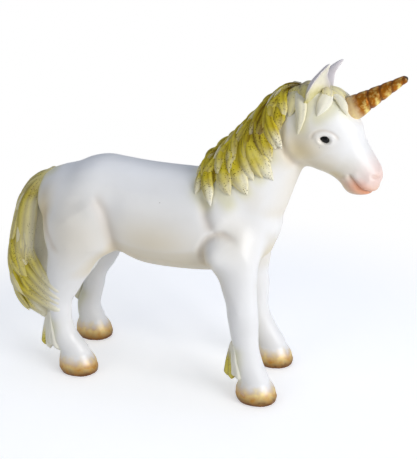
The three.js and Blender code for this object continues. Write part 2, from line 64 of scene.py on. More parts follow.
def opened(*meshes):
    """These meshes as one shape that can be edited."""
    shape = bmesh.new()
    for mesh in meshes:
        shape.from_mesh(mesh)
    return shape


def closed(shape, mesh):
    """Writes an edited shape to the mesh."""
    shape.to_mesh(mesh)
    shape.free()


def welded_copy(name, *cad_names):
    """One object of these CAD solids, with their loose triangles merged."""
    shape = opened(*[nodes[cad_name].data for cad_name in cad_names])
    bmesh.ops.remove_doubles(shape, verts=shape.verts, dist=WELD)
    mesh = bpy.data.meshes.new(name)
    closed(shape, mesh)
    return placed(name, mesh)


def baked(piece):
    """Applies the piece's modifiers, so that a plain mesh is left."""
    ready = piece.evaluated_get(bpy.context.evaluated_depsgraph_get())
    mesh = bpy.data.meshes.new_from_object(ready)
    piece.modifiers.clear()
    piece.data = mesh
    return piece


def remeshed(piece, grid, swell=0.0):
    """Closes the piece's solids into one skin of even squares, swollen first so that gaps close."""
    grow = piece.modifiers.new("swell", "DISPLACE")
    grow.strength = swell
    grow.mid_level = 0.0
    squares = piece.modifiers.new("squares", "REMESH")
    squares.mode = "VOXEL"
    squares.voxel_size = grid
    return baked(piece)


def rows_of(values, key, kind=float, width=3):
    """What a mesh keeps for each of its points or edges, as rows of numbers."""
    flat = np.empty(width * len(values), kind)
    values.foreach_get(key, flat)
    return flat.reshape(-1, width)


def points_of(mesh):
    """The places of the mesh's points."""
    return rows_of(mesh.vertices, "co")


def normals_of(mesh):
    """The outward direction at each of the mesh's points."""
    return rows_of(mesh.vertex_normals, "vector")


def set_points(mesh, points):
    """Moves the mesh's points to these places."""
    mesh.vertices.foreach_set("co", np.ascontiguousarray(points, np.float32).ravel())
    mesh.update()


def eased(mesh, rounds, draw=0.6, push=-0.64):
    """Smooths the mesh and keeps its bulk: each round draws a point in, then pushes it back out."""
    points = points_of(mesh)
    one, other = rows_of(mesh.edges, "vertices", np.int64, 2).T
    count = len(points)
    joined = np.bincount(one, minlength=count) + np.bincount(other, minlength=count)
    for share in (draw, push) * rounds:
        for axis in range(3):
            line = points[:, axis]
            total = np.bincount(one, line[other], count) + np.bincount(other, line[one], count)
            points[:, axis] = line + share * (total / joined - line)
    set_points(mesh, points)


def linear(colour):
    """A colour written as sRGB hex, as the linear values that shaders take."""
    parts = [int(colour[i : i + 2], 16) / 255 for i in (1, 3, 5)]
    return (*[p / 12.92 if p <= 0.04045 else ((p + 0.055) / 1.055) ** 2.4 for p in parts], 1.0)


def add_node(tree, kind, inputs=(), settings=()):
    """Adds a node with its settings and fills its inputs, by name or in the order that they show.

    The kind of a shader node is given short, as Mix. An input is a value, a hex colour, a node or
    a node's socket.
    """
    node = tree.nodes.new(kind if "Node" in kind else f"ShaderNode{kind}")
    for name, value in dict(settings).items():
        setattr(node, name, value)
    sockets = {socket.identifier: socket for socket in node.inputs if socket.enabled}
    chosen = inputs if isinstance(inputs, dict) else dict(zip(sockets, inputs))
    for name, value in chosen.items():
        if isinstance(value, bpy.types.Node):
            value = next(output for output in value.outputs if output.enabled)
        if isinstance(value, bpy.types.NodeSocket):
            tree.links.new(value, sockets[name])
        else:
            sockets[name].default_value = linear(value) if str(value).startswith("#") else value
    return node


def new_material(name):
    """An empty material, what adds a node to it, and the place on the object for its nodes to read."""
    material = bpy.data.materials.new(name)
    material.use_nodes = True
    material.node_tree.nodes.clear()
    add = partial(add_node, material.node_tree)
    return material, add, add("TexCoord").outputs["Object"]


def fitted(piece, slot, *cad_names, material=None):
    """Paints a finished piece, unless it is painted, and fixes it to the toy in place of CAD nodes."""
    if material:
        piece.data.materials.append(material)
    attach(piece, "root")
    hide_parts(*cad_names)
    return piece


# Polyester fibre fill: matt white, with fine crossing strands whose soft grey shade is painted into the
# colour.
fibre, add, place = new_material("polyester_fibre")
tangle = {"Vector": place, "Scale": 1 / (1.5 * MM), "Detail": 6.0, "Distortion": 2.5}
strands = add("TexNoise", tangle)
shade = add("Mix", [strands, "#d9d6ce", "#f4f2ec"], RGBA)
grain = add("Bump", {"Height": strands, "Distance": 0.4 * MM})
looks = {"Base Color": shade, "Roughness": 0.95, "Sheen Weight": 0.3, "Normal": grain}
add("OutputMaterial", [add("BsdfPrincipled", looks)])

stuffing = remeshed(welded_copy("fibre_stuffing", "stuffing"), STUFFING_GRID)
eased(stuffing.data, 12)
tufts = np.sin(points_of(stuffing.data) * (2 * pi / TUFT)).prod(axis=1)
tufted = points_of(stuffing.data) - normals_of(stuffing.data) * (TUFT_RELIEF * (1 - tufts))[:, None]
set_points(stuffing.data, tufted)
stuffing.data.shade_smooth()
fitted(stuffing, "fibre_stuffing", "stuffing", material=fibre)

# Skin: white vinyl rubber about 2.4 mm thick, cast hollow in sections that are bonded into one body
# and sprayed white. The bond lines are filled and rubbed down, so barrel, neck, head, legs and hooves
# run into each other, with soft folds where the muscles meet.
FEET = ("fore_left", "fore_right", "hind_left", "hind_right")
HOOVES = [f"hoof_{foot}" for foot in FEET]
SKIN_SECTIONS = ["barrel", "neck", "head", *[f"leg_{foot}" for foot in FEET], *HOOVES]
WALL = 2.4 * MM
BOND_LINE = 0.3 * MM
CAST_GRID = 1.6 * MM
BORDER_ROUNDS = 12
RAY_SLACK = 0.01 * MM
# The middle of the head in mm, and the directions to the nose and out of the forehead.
HEAD_MIDDLE = np.array([56.13, 0, 125.75])
NOSE_LINE = np.array([0.7373, 0, -0.6756])
FOREHEAD_LINE = np.array([0.6756, 0, 0.7373])
EYE_AHEAD, EYE_UP, EYE_TURN = 4.6, 2.4, radians(26)
EYE_LONG, EYE_HIGH = 2.2, 1.6
PLUG_X, PLUG_RADIUS = -9.4, 4.5


def outer_sheet(mesh):
    """Leaves only the mesh's sheet that holds its highest point, which is the outside of a hollow."""
    shape = opened(mesh)
    start = max(shape.verts, key=lambda v: v.co.z)
    kept, waiting = {start}, [start]
    while waiting:
        for edge in waiting.pop().link_edges:
            for vert in edge.verts:
                if vert not in kept:
                    kept.add(vert)
                    waiting.append(vert)
    bmesh.ops.delete(shape, geom=[v for v in shape.verts if v not in kept], context="VERTS")
    closed(shape, mesh)


def halve_squares(mesh, chosen):
    """Cuts the squares whose points are all chosen into four, for finer modelling there."""
    shape = opened(mesh)
    edges = [e for e in shape.edges if all(chosen[v.index] for v in e.verts)]
    bmesh.ops.subdivide_edges(shape, edges=edges, cuts=1, use_grid_fill=True)
    bmesh.ops.triangulate(shape, faces=[f for f in shape.faces if len(f.verts) > 4])
    closed(shape, mesh)


def rounded(piece):
    """Cuts every face of the piece into four and rounds them."""
    finer = piece.modifiers.new("finer", "SUBSURF")
    finer.levels = finer.render_levels = 1
    return baked(piece)


def softened(mesh, rounds, where):
    """Smooths the mesh's forms away, as far as the share at each point says."""
    firm = points_of(mesh)
    eased(mesh, rounds, draw=0.5, push=0.0)
    set_points(mesh, firm + np.clip(where, 0, 1)[:, None] * (points_of(mesh) - firm))


def surface_of(*cad_names):
    """The surface of these CAD solids, to find the place on it that is nearest to a point."""
    solids = welded_copy("solids", *cad_names)
    tree = BVHTree.FromObject(solids, bpy.context.evaluated_depsgraph_get())
    bpy.data.objects.remove(solids)
    return tree


def head_plane(points):
    """Points in mm as seen from the side of the head: towards the nose, and up to the forehead."""
    return (points - HEAD_MIDDLE) @ np.array([NOSE_LINE, FOREHEAD_LINE]).T


def hill(away):
    """1 at 0, and falling to almost 0 at 2 on either side."""
    return np.exp(-(away**2))


def step(value, low, high):
    """0 below low, 1 above high, and a smooth rise between them."""
    share = np.clip((value - low) / (high - low), 0, 1)
    return share * share * (3 - 2 * share)


def bump(centre, reach):
    """A soft bump on both sides of the toy: 1 at its centre and close to 0 at its reach, in mm."""
    share = np.zeros(len(flesh))
    for side in (1, -1):
        away = (flesh - np.array(centre) * (1, side, 1)) / reach
        share = np.maximum(share, np.exp(-2.5 * (away**2).sum(axis=1)))
    return share


def beside(plane, line):
    """Distance of points in a plane from a line of points, positive on its left, and its fading ends."""
    nearest = np.full(len(plane), 1e9)
    signed, share = np.zeros((2, len(plane)))
    for i, (start, end) in enumerate(zip(line, line[1:])):
        start, run = np.array(start), np.subtract(end, start)
        along = np.clip((plane - start) @ run / (run @ run), 0, 1)
        off = plane - start - along[:, None] * run
        distance = np.hypot(off[:, 0], off[:, 1])
        closer = distance < nearest
        side = np.where(run[0] * off[:, 1] - run[1] * off[:, 0] > 0, 1, -1)
        signed = np.where(closer, side * distance, signed)
        share = np.where(closer, (i + along) / (len(line) - 1), share)
        nearest = np.minimum(nearest, distance)
    return signed, step(np.minimum(share, 1 - share), 0, 0.22)


# The stuffing and the plug fill the hollow, so that the outside of the cast is a sheet of its own.
whole_skin = welded_copy("whole_skin", "stuffing", "belly_plug", *SKIN_SECTIONS)
cast = remeshed(whole_skin, CAST_GRID, swell=BOND_LINE).data
outer_sheet(cast)
eased(cast, 60, push=-0.61)
# Hips and shoulders run smoothly into the barrel: centre and reach of each soft place, in mm.
RUN_IN = [((-50, 20, 66), (26, 16, 17)), ((24, 18, 62), (17, 14, 14)), ((37, 13, 71), (14, 12, 14))]
flesh = points_of(cast) / MM
softened(cast, 40, 1.6 * np.max([bump(*place) for place in RUN_IN], axis=0))
# The gaskins stand back, the right one further, and the belly is tucked up in front of them.
flesh = points_of(cast) / MM
x, y, height = flesh.T
gaskin = hill((height - 52) / 13) * step(-x, 30, 38)
tuck = bump((-32, 8, 60), (12, 16, 9))
x -= (2.25 - 1.05 * np.tanh(y / 4)) * gaskin
height += 2.8 * tuck
set_points(cast, flesh * MM)
set_points(cast, points_of(cast) - BOND_LINE * normals_of(cast))
cast = rounded(whole_skin).data
flesh = points_of(cast) / MM
ahead, up = head_plane(flesh).T
halve_squares(cast, (ahead > -6) & (up > -12) & (points_of(cast)[:, 2] > 92 * MM))

flesh = points_of(cast) / MM
x, y, height = flesh.T
outward = normals_of(cast)
inner_wall = flesh - outward * (WALL / MM)
on_head = head_plane(flesh)
ahead = on_head[:, 0]
flank = step(np.abs(y), 6, 11)
head_side = step(np.abs(y), 1.5, 4) * step(x, 36, 40)
# relief moves the skin; shade is painted shade, laid into the folds and creases that relief cuts.
relief, shade = np.zeros((2, len(flesh)))

# Muscles: centre, reach and height of each soft bump or hollow, in mm.
MUSCLES = [
    ((-74, 0, 85), (10, 15, 10), -1.8),
    ((68.5, 0, 131), (12, 10, 12), 2.6),
    ((-68, 0, 92.5), (14, 13, 10), 1.9),
    ((78.5, 0, 99.1), (5, 9, 4.5), -2.2),
    ((72, 3, 102.4), (6, 8, 5), 1.3),
    ((83, 0, 104), (5, 8, 5), -0.9),
    ((78.6, 8, 105.5), (3.2, 4, 2.6), 0.4),
    ((70, 7, 107.6), (2, 3, 2), 0.3),
    ((-67, 17, 67), (7, 8, 9), 1.0),
    ((-60, 11, 84), (11, 9, 14), 1.2),
    ((-49, 20, 77), (15, 10, 20), 1.6),
    ((-44, 12, 99), (14, 9, 8), 0.8),
    ((-32, 20, 88), (9, 9, 14), -1.2),
    ((-10, 21, 74), (26, 10, 18), 0.9),
    ((20, 18, 89), (9, 9, 13), 1.0),
    ((18.5, 21.5, 71.5), (9.5, 8, 9.5), 3.2),
    ((34, 17, 77), (7, 8, 11), -0.7),
    ((13.5, 19, 56.5), (5, 9, 5.5), -1.3),
    ((41, 5, 72), (9, 9, 8), -1.5),
    ((37, 18, 60), (5, 10, 13), -1.2),
    ((31, 19, 88), (9, 9, 10), -0.8),
    ((31, 17.5, 41), (9, 9, 8), 0.6),
    ((-60, 17.5, 40), (8, 8, 9), 0.7),
    ((31, 17.5, 19), (9, 9, 7), 0.5),
    ((-58, 17.5, 19), (9, 9, 7), 0.5),
]
for centre, reach, rise in MUSCLES:
    relief += rise * bump(centre, reach)

# Folds on the flanks: a line of (x, z), its depth and width, the lip on its left and that lip's reach.
THIGH = [(-32, 58), (-31.1, 66), (-31.6, 74), (-33.3, 81), (-35.3, 86), (-38, 90), (-41, 94)]
SHOULDER = [(10.5, 98), (11.4, 92.7), (12.6, 88.1), (14.1, 84.4), (17, 80.5)]
ELBOW = [(28, 75.5), (24.9, 79.2), (20.3, 80.8), (16.9, 80.4), (14, 78.4), (12, 75.5)]
ELBOW += [(11.1, 72.3), (11, 69), (11.8, 65.8), (13.6, 63), (16.5, 61)]
BUTTOCK = [(-55, 63), (-59.5, 67), (-62.5, 73), (-64.2, 80), (-63.5, 88)]
FOLDS = [
    (THIGH, 0.8, 3.0, 1.8, 12),
    (SHOULDER, 0.9, 2.6, 1.0, 9),
    (ELBOW, 1.6, 1.7, 0.8, 7),
    (BUTTOCK, 0.3, 1.6, 0.6, 5),
]
for line, depth, width, lip, lip_reach in FOLDS:
    away, ends = beside(flesh[:, [0, 2]], line)
    dip = hill(away / width) * ends * flank
    raised = np.where(away > 0, (1 - np.exp(-away / width)) * hill(away / lip_reach), 0)
    relief += lip * raised * ends * flank - depth * dip
    shade = np.maximum(shade, 0.45 * dip)

# Head: the fold behind the cheek, the mouth with a full lip on each side of it, and the nostrils.
CHEEK = [(-15, -1), (-12.5, -6), (-8, -11), (-3, -14), (3, -15.2), (10, -15)]
MOUTH = [(21.5, -1.4), (23.2, -2), (25.6, -2.4), (29.6, -2.9), (31.8, -2.6), (34.3, -1.5), (38, 0)]
away, ends = beside(on_head, CHEEK)
dip = hill(away / 1.5) * ends * step(np.abs(y), 4, 7) * (height > 95)
relief += 0.7 * np.where(away > 0, hill((away - 3) / 3), 0) * ends * head_side - 0.7 * dip
shade = np.maximum(shade, 0.5 * dip)
mouth, ends = beside(on_head, MOUTH)
at_mouth = np.where(ahead > 30, 1, ends) * (ahead > 18)
dip = hill(mouth / 0.75) * at_mouth
relief += 0.42 * hill((np.abs(mouth) - 2.2) / 1.3) * at_mouth - 0.75 * dip
shade = np.maximum(shade, 0.8 * dip)
nostril = (on_head - (30.8, 5.2)) @ np.array([(0.8, -0.6), (0.6, 0.8)])
dip = np.exp(-((nostril / (1.6, 0.8)) ** 2).sum(axis=1)) * head_side
relief += 0.35 * np.exp(-((nostril / 3) ** 2).sum(axis=1)) * head_side - 0.75 * dip
shade = np.maximum(shade, 0.35 * dip)

# Eyelids: a socket that the eye sits in, a rim round it, and a fold above that fades to the front.
turned = np.array([(cos(EYE_TURN), -sin(EYE_TURN)), (sin(EYE_TURN), cos(EYE_TURN))])
from_eye = (on_head - (EYE_AHEAD, EYE_UP)) @ turned
round_eye = np.hypot(from_eye[:, 0] / EYE_LONG, from_eye[:, 1] / EYE_HIGH)
above_eye = step(from_eye[:, 1] - 0.25 * from_eye[:, 0], -0.5, 1.5)
socket = (1 - step(round_eye, 0.75, 1.05)) * head_side
rim = hill((round_eye - 1.42) / 0.3) * head_side
lid = hill((round_eye - 1.9) / 0.4) * head_side * (0.35 + 0.65 * above_eye)
lid_fold = hill((round_eye - 2.45) / 0.34) * head_side * above_eye
relief += 0.45 * rim + 0.28 * lid - 0.2 * lid_fold - 0.9 * socket
shade = np.maximum(shade, 0.42 * lid_fold)

# Coronets, where each hoof's wall swells out below the skin, and the dimple round the belly plug.
relief += 0.35 * hill((height - 5.5) / 2.6) - 0.3 * hill((height - 10.5) / 1.3)
from_plug = np.hypot(x - PLUG_X, y)
under = (outward[:, 2] < -0.5) & (height > 40)
relief -= 0.6 * hill((from_plug - PLUG_RADIUS) / 0.8) * under

keep_sole = step(height, 0.4, 2.0)
set_points(cast, (flesh + outward * (relief * keep_sole)[:, None]) * MM)
eased(cast, 2)
# The chest runs into the forearms without an edge.
softened(cast, 60, 1.4 * np.maximum(bump((34, 17, 74), (10, 10, 12)), bump((41, 6, 71), (9, 12, 10))))

# Smoothing rounds the hooves' edges, so each point low on a hoof goes back to the wall that was cast.
WALL_LOW, WALL_HIGH = 3.5, 7
hoof_walls = surface_of(*HOOVES)
flesh = points_of(cast)
for i in np.flatnonzero(flesh[:, 2] < WALL_HIGH * MM):
    wall = np.array(hoof_walls.find_nearest(Vector(flesh[i]))[0])
    flesh[i] += (1 - step(flesh[i, 2] / MM, WALL_LOW, WALL_HIGH)) * (wall - flesh[i])
set_points(cast, flesh)

# The painted marks on the skin, as shares from 0 to 1 at each of its points. The muzzle is pink, and
# a beige tint, also painted warm shade, lies on the belly, behind the thighs, round the elbows and on the
# jaw.
flesh = points_of(cast) / MM
ahead, up = head_plane(flesh).T
muzzle = step(ahead + 0.6 * np.maximum(-up, 0), 22, 31) * (height > 90)
blush = np.maximum(0.9 * hill((up + 2.5) / 5.0) * muzzle, 0.52 * step(ahead, 18, 36) * (height > 90))
# Faces turned down, above the legs, take the beige tint and painted shade.
tint_and_shade = 0.75 * (step(-outward[:, 2], -0.1, 0.7) * step(height, 48, 56))
# Spots of beige tint and painted shade: centre, reach and strength, in mm.
TINT_AND_SHADE_SPOTS = [
    ((-67, 17, 78), (10, 11, 24), 1.0),
    ((11, 22, 65), (9, 10, 13), 1.0),
    ((14, 24, 66), (5, 8, 6), 1.0),
    ((66, 7, 111), (14, 10, 9), 0.5),
    ((-12, 24, 72), (36, 12, 20), 0.62),
    ((51, 10, 119), (16, 10, 15), 1.0),
    ((65, 6, 108), (10, 11, 6.5), 1.0),
    ((-48, 22, 72), (22, 12, 24), 0.45),
    ((26, 21, 80), (18, 12, 18), 0.25),
    ((34, 20, 96), (9, 12, 12), 0.3),
]
for centre, reach, share in TINT_AND_SHADE_SPOTS:
    tint_and_shade = np.maximum(tint_and_shade, share * bump(centre, reach))
hair = surface_of(*[n for n in nodes if n.startswith(("mane", "forelock", "tail", "feather"))])
from_hair = np.array([hair.find_nearest(Vector(p))[3] for p in flesh * MM])
MARKS = {
    "tint_and_shade": np.clip(tint_and_shade, 0, 1),
    "fold": np.clip(shade, 0, 1),
    "blush": np.clip(blush, 0, 1),
    "overspray": np.maximum(hill(from_hair / (3.2 * MM)), 0.9 * bump((-68, 0, 92), (9, 9, 7))),
}


def section_of_faces(mesh):
    """Which section each face of the skin belongs to: the nearest, with the borders smoothed."""
    corners, owners = [], []
    for number, section in enumerate(SKIN_SECTIONS):
        for face in nodes[section].data.polygons:
            corners += [nodes[section].data.vertices[i].co for i in face.vertices]
            owners.append(number)
    triangles = [(3 * i, 3 * i + 1, 3 * i + 2) for i in range(len(owners))]
    tree = BVHTree.FromPolygons(corners, triangles)
    nearest = [owners[tree.find_nearest(v.co)[2]] for v in mesh.vertices]
    share = np.eye(len(SKIN_SECTIONS))[nearest]
    one, other = rows_of(mesh.edges, "vertices", np.int64, 2).T
    for _ in range(BORDER_ROUNDS):
        spread = share.copy()
        np.add.at(spread, one, share[other])
        np.add.at(spread, other, share[one])
        share = spread / spread.sum(axis=1, keepdims=True)
    return [int(share[list(face.vertices)].sum(axis=0).argmax()) for face in mesh.polygons]


def set_shares(mesh, **shares):
    """Keeps shares from 0 to 1 for each of the mesh's points, for its material to read."""
    for name, values in shares.items():
        layer = mesh.attributes.new(name, "FLOAT", "POINT")
        layer.data.foreach_set("value", np.asarray(values, np.float32))


def skin_section(name, faces):
    """One closed piece of skin: its outer faces, the same faces turned inwards, and a rim between them."""
    used = sorted({v for face in faces for v in face})
    new = {v: i for i, v in enumerate(used)}
    count = len(used)
    outer = [[new[v] for v in face] for face in faces]
    inner = [[count + v for v in reversed(face)] for face in outer]
    sides = {(a, b) for face in outer for a, b in zip(face, face[1:] + face[:1])}
    rim = [(b, a, count + a, count + b) for a, b in sides if (b, a) not in sides]
    points = np.concatenate([outside[used], inner_wall[used] * MM])
    mesh = bpy.data.meshes.new(name)
    mesh.from_pydata(points.tolist(), [], outer + inner + sorted(rim))
    mesh.shade_smooth()
    set_shares(mesh, **{mark: np.tile(values[used], 2) for mark, values in MARKS.items()})
    at_points = np.concatenate([shading[used], -shading[used]])
    directions = [at_points[v] for face in outer + inner for v in face]
    for face in mesh.polygons[len(outer) + len(inner) :]:
        directions += [face.normal] * 4
    mesh.normals_split_custom_set(directions)
    return placed(name, mesh)


SMOOTH = {"interpolation_type": "SMOOTHSTEP"}
MULTIPLY = {"operation": "MULTIPLY"}
MULTIPLY_ADD = {"operation": "MULTIPLY_ADD"}

# Vinyl rubber sprayed satin white: cream-brown painted shade in the folds, pink lips, gilded hooves.
painted_rubber, add, place = new_material("white_vinyl_rubber")
cloud = add("TexNoise", [place, 1 / (16 * MM), 3.0])
paint = add("Mix", [cloud, "#e9e7e4", "#f5f4f3"], RGBA)
coats = []
# The airbrush lays each colour on as a mist: beige tint that is also painted shade, painted fold shade,
# pink lips, yellow by the hair.
for mark, colour, strength in (
    ("tint_and_shade", "#d6c18c", 0.85),
    ("fold", "#b9a283", 0.75),
    ("blush", "#e69062", 0.85),
    ("overspray", "#d8cf74", 0.4),
):
    sprayed = add("Attribute", settings={"attribute_name": mark}).outputs["Fac"]
    mist = add("Math", [sprayed, strength], {"operation": "MULTIPLY", "use_clamp": True})
    coats.append((mist, colour))
# Dust caught in the paint: a few dots of up to 0.5 mm.
dust = add("TexVoronoi", [place, 1 / (9 * MM)])
coats.append((add("MapRange", [dust, 0.02, 0.035, 0.45, 0.0]), "#8d857a"))
# Gold is dabbed on the hooves by brush, ragged at its upper edge and darker brown towards the ground.
rise = add("SeparateXYZ", [place]).outputs["Z"]
dabs = add("TexNoise", [place, 1 / (3.2 * MM), 4.0])
ragged = add("Math", [dabs, -6 * MM, rise], MULTIPLY_ADD)
gilt = add("MapRange", [ragged, 1.5 * MM, 8 * MM, 1.0, 0.0], SMOOTH)
darkened = add("MapRange", [ragged, -2.8 * MM, 3.0 * MM, 1.0, 0.0], SMOOTH)
thick_dabs = add("MapRange", [dabs, 0.34, 0.68])
gold = add("Mix", [thick_dabs, "#bf8832", "#f2da96"], RGBA)
gold = add("Mix", [darkened, gold, "#6f420e"], RGBA)
for share, colour in (*coats, (gilt, gold)):
    paint = add("Mix", [share, paint, colour], RGBA)
gloss = add("MapRange", {"Value": cloud, "To Min": 0.3, "To Max": 0.46})
# Orange peel of the spray, drawn at 1.2 mm so that it shows.
peel = add("TexNoise", [place, 1 / (1.2 * MM), 2.0])
looks = {
    "Base Color": paint,
    "Metallic": add("Math", [gilt, 0.45], MULTIPLY),
    "Roughness": add("Math", [gilt, 0.18, gloss], MULTIPLY_ADD),
    "IOR": 1.5,
    "Coat Weight": 0.06,
    "Coat Roughness": 0.18,
    "Normal": add("Bump", {"Height": peel, "Distance": 0.05 * MM, "Strength": 0.5}),
}
add("OutputMaterial", [add("BsdfPrincipled", looks)])

outside, shading = points_of(cast), normals_of(cast)
face_points = [list(face.vertices) for face in cast.polygons]
face_sections = section_of_faces(cast)
skin_tree = BVHTree.FromPolygons(outside.tolist(), face_points, epsilon=RAY_SLACK)
for number, section in enumerate(SKIN_SECTIONS):
    faces = [points for points, owner in zip(face_points, face_sections) if owner == number]
    slot = "gold_paint" if section.startswith("hoof") else "white_rubber"
    fitted(skin_section(f"{section}_skin", faces), slot, section, material=painted_rubber)
bpy.data.objects.remove(whole_skin)

# Belly plug: a white vinyl disc pressed into the hole that the stuffing went in through, and bonded.
# Its face is a shallow dome that lies in the dimple of the belly.
PLUG_DOME, PLUG_DEEP, PLUG_SUNK, PLUG_GAP = 0.9, 2.2, 0.55, 0.3
PLUG_RINGS, PLUG_SIDES = 6, 32
BARREL_INSIDE = 75


def ringed_mesh(name, rings):
    """A closed skin through rings of points, all with as many points, capped at its two ends."""
    count = len(rings[0])
    faces = []
    for low in range(0, (len(rings) - 1) * count, count):
        for i in range(count):
            after = (i + 1) % count
            faces.append((low + i, low + after, low + count + after, low + count + i))
    faces.append(tuple(reversed(range(count))))
    faces.append(tuple(range((len(rings) - 1) * count, len(rings) * count)))
    mesh = bpy.data.meshes.new(name)
    mesh.from_pydata((np.concatenate(rings) * MM).tolist(), [], faces)
    shape = opened(mesh)
    bmesh.ops.remove_doubles(shape, verts=shape.verts, dist=WELD)
    bmesh.ops.recalc_face_normals(shape, faces=shape.faces)
    closed(shape, mesh)
    mesh.shade_smooth()
    return placed(name, mesh)


def on_skin(inside, towards):
    """Where a line from inside the toy comes out of its skin, in mm, and the outward direction there."""
    # A line that slips between two faces is tried again with a slight tilt.
    for tilt in (0.0005, 0.002, 0.005):
        direction = Vector(towards).normalized() + tilt * Vector((0.6, 1, 0.8))
        place, normal, _, _ = skin_tree.ray_cast(Vector(inside) * MM, direction)
        if place is not None:
            break
    return np.array(place) / MM, np.array(normal)


def turns_of(count):
    """Angles evenly round a full turn."""
    return np.linspace(0, 2 * pi, count, endpoint=False)


turns = turns_of(PLUG_SIDES)
plug_face = on_skin((PLUG_X, 0, BARREL_INSIDE), (0, 0, -1))[0]
plug_rings = []
for share in np.linspace(0, 1, PLUG_RINGS):
    radius = max((PLUG_RADIUS - PLUG_GAP) * sin(share * pi / 2), 0.05)
    drop = PLUG_DOME * cos(share * pi / 2)
    ring = np.stack([radius * np.cos(turns), radius * np.sin(turns), np.full(PLUG_SIDES, -drop)], axis=1)
    plug_rings.append(plug_face + (0, 0, PLUG_SUNK) + ring)
plug_rings.append(plug_rings[-1] + (0, 0, PLUG_DEEP))
plug = ringed_mesh("belly_plug_disc", plug_rings)
fitted(plug, "white_rubber", "belly_plug", material=painted_rubber)

# Eyes: gloss black paint on an oval bead of the rubber, one in each socket between the lids.
# The bead is a drop on its side, fullest at the front and drawn to a point behind and above.
SIDES = ((1, "left"), (-1, "right"))
EYE_BULGE, EYE_PROUD, EYE_SUNK = 0.75, 0.25, 1.2
EYE_SIDES, EYE_RINGS = 40, 7

# Gloss black enamel: near black with a faint brown cloud, and the shine of a wet eye.
eye_black, add, place = new_material("gloss_black_enamel")
cloud = add("TexNoise", [place, 1 / (0.8 * MM), 2.0])
tone = add("Mix", [cloud, "#020202", "#0b0807"], RGBA)
looks = {"Base Color": tone, "Roughness": 0.2, "IOR": 1.45, "Specular IOR Level": 0.3}
add("OutputMaterial", [add("BsdfPrincipled", looks)])

turns = turns_of(EYE_SIDES)
long_way = EYE_LONG * np.cos(turns) * (1 + 0.12 * (np.cos(turns) < 0))
high_way = EYE_HIGH * np.sin(turns) * (0.82 + 0.22 * np.cos(turns))
ahead = long_way * cos(EYE_TURN) - high_way * sin(EYE_TURN)
up = long_way * sin(EYE_TURN) + high_way * cos(EYE_TURN)
for side, name in SIDES:
    middle = HEAD_MIDDLE + EYE_AHEAD * NOSE_LINE + EYE_UP * FOREHEAD_LINE
    base, outward_here = on_skin(middle, (0, side, 0))
    edge = np.outer(ahead, NOSE_LINE) + np.outer(up, FOREHEAD_LINE)
    edge -= np.outer(edge @ outward_here, outward_here)
    eye_rings = [base + share * edge - EYE_SUNK * outward_here for share in (0.05, 0.9)]
    for share in np.linspace(1, 0.04, EYE_RINGS):
        bulge = EYE_PROUD + EYE_BULGE * sqrt(1 - share**2)
        eye_rings.append(base + share * edge + bulge * outward_here)
    eye = ringed_mesh(f"eye_bead_{name}", eye_rings)
    fitted(eye, "black_eye", f"eye_{name}", material=eye_black)

# Horn: a twisted cone of the same rubber, rooted through the forehead and painted gold by brush.
# One ridge winds round it to the tip, with brown painted shade in its groove, a painted highlight on its
# front side, and thin paint at the foot.
HORN_BASE = (4.2, 18.3)
HORN_LEAN = radians(13.5)
HORN_LONG, HORN_FOOT, HORN_TIP, HORN_SUNK = 24.0, 4.8, 1.3, 3.0
HORN_TURNS, HORN_RINGS, HORN_SIDES = 4.6, 150, 40

# Gold paint on rubber: warm metal flakes, brighter in dabs, with a painted highlight on the ridge's front
# and brown painted shade in the groove.
gold_paint, add, place = new_material("brushed_gold_paint")
marks = [add("Attribute", settings={"attribute_name": n}) for n in ("groove", "along", "ridge")]
groove, along, ridge = [mark.outputs["Fac"] for mark in marks]
dabs = add("TexNoise", [place, 1 / (1.6 * MM), 4.0])
dabs_and_highlight = add("Math", [dabs, 2.2, -1.0], MULTIPLY_ADD)
dabs_and_highlight = add("Math", [dabs_and_highlight, ridge], {"operation": "ADD", "use_clamp": True})
# The last millimetres are worn to a dark point, and the first fade into the white of the forehead.
darkened = add("MapRange", [along, 0.94, 0.99])
ragged = add("Math", [dabs, 0.14, along], MULTIPLY_ADD)
bare = add("MapRange", [ragged, 0.04, 0.18, 0.9, 0.0], SMOOTH)
paint = "#a86400"
for share, colour in ((dabs_and_highlight, "#ffe98c"), (groove, "#6e3a04"), (darkened, "#4c4238"), (bare, "#e2c795")):
    paint = add("Mix", [share, paint, colour], RGBA)
looks = {
    "Base Color": paint,
    "Metallic": add("MapRange", {"Value": bare, "To Min": 0.65, "To Max": 0.0}),
    "Roughness": add("MapRange", {"Value": dabs, "To Min": 0.28, "To Max": 0.5}),
    "Normal": add("Bump", {"Height": dabs, "Distance": 0.2 * MM}),
}
add("OutputMaterial", [add("BsdfPrincipled", looks)])

horn_foot = HEAD_MIDDLE + HORN_BASE[0] * NOSE_LINE + HORN_BASE[1] * FOREHEAD_LINE
horn_line = cos(HORN_LEAN) * FOREHEAD_LINE + sin(HORN_LEAN) * NOSE_LINE
horn_across = np.cross((0, 1, 0), horn_line)
turns = turns_of(HORN_SIDES)
horn_rings = []
for share in np.linspace(-HORN_SUNK / HORN_LONG, 1, HORN_RINGS):
    radius = HORN_FOOT + (HORN_TIP - HORN_FOOT) * max(share, 0)
    radius *= sqrt(min(1, (1.0001 - share) / 0.045))
    phase = (turns / (2 * pi) + HORN_TURNS * share) % 1
    depth = 0.1 * hill(np.minimum(phase, 1 - phase) / 0.13) + 0.05 * phase
    depth *= step(share, 0.02, 0.2)
    ring = np.outer(np.cos(turns), horn_across) + np.outer(np.sin(turns), (0, 1, 0))
    horn_rings.append(horn_foot + share * HORN_LONG * horn_line + ring * (radius * (1.06 - depth))[:, None])
horn = ringed_mesh("horn_cone", horn_rings)
from_foot = points_of(horn.data) / MM - horn_foot
horn_share = from_foot @ horn_line / HORN_LONG
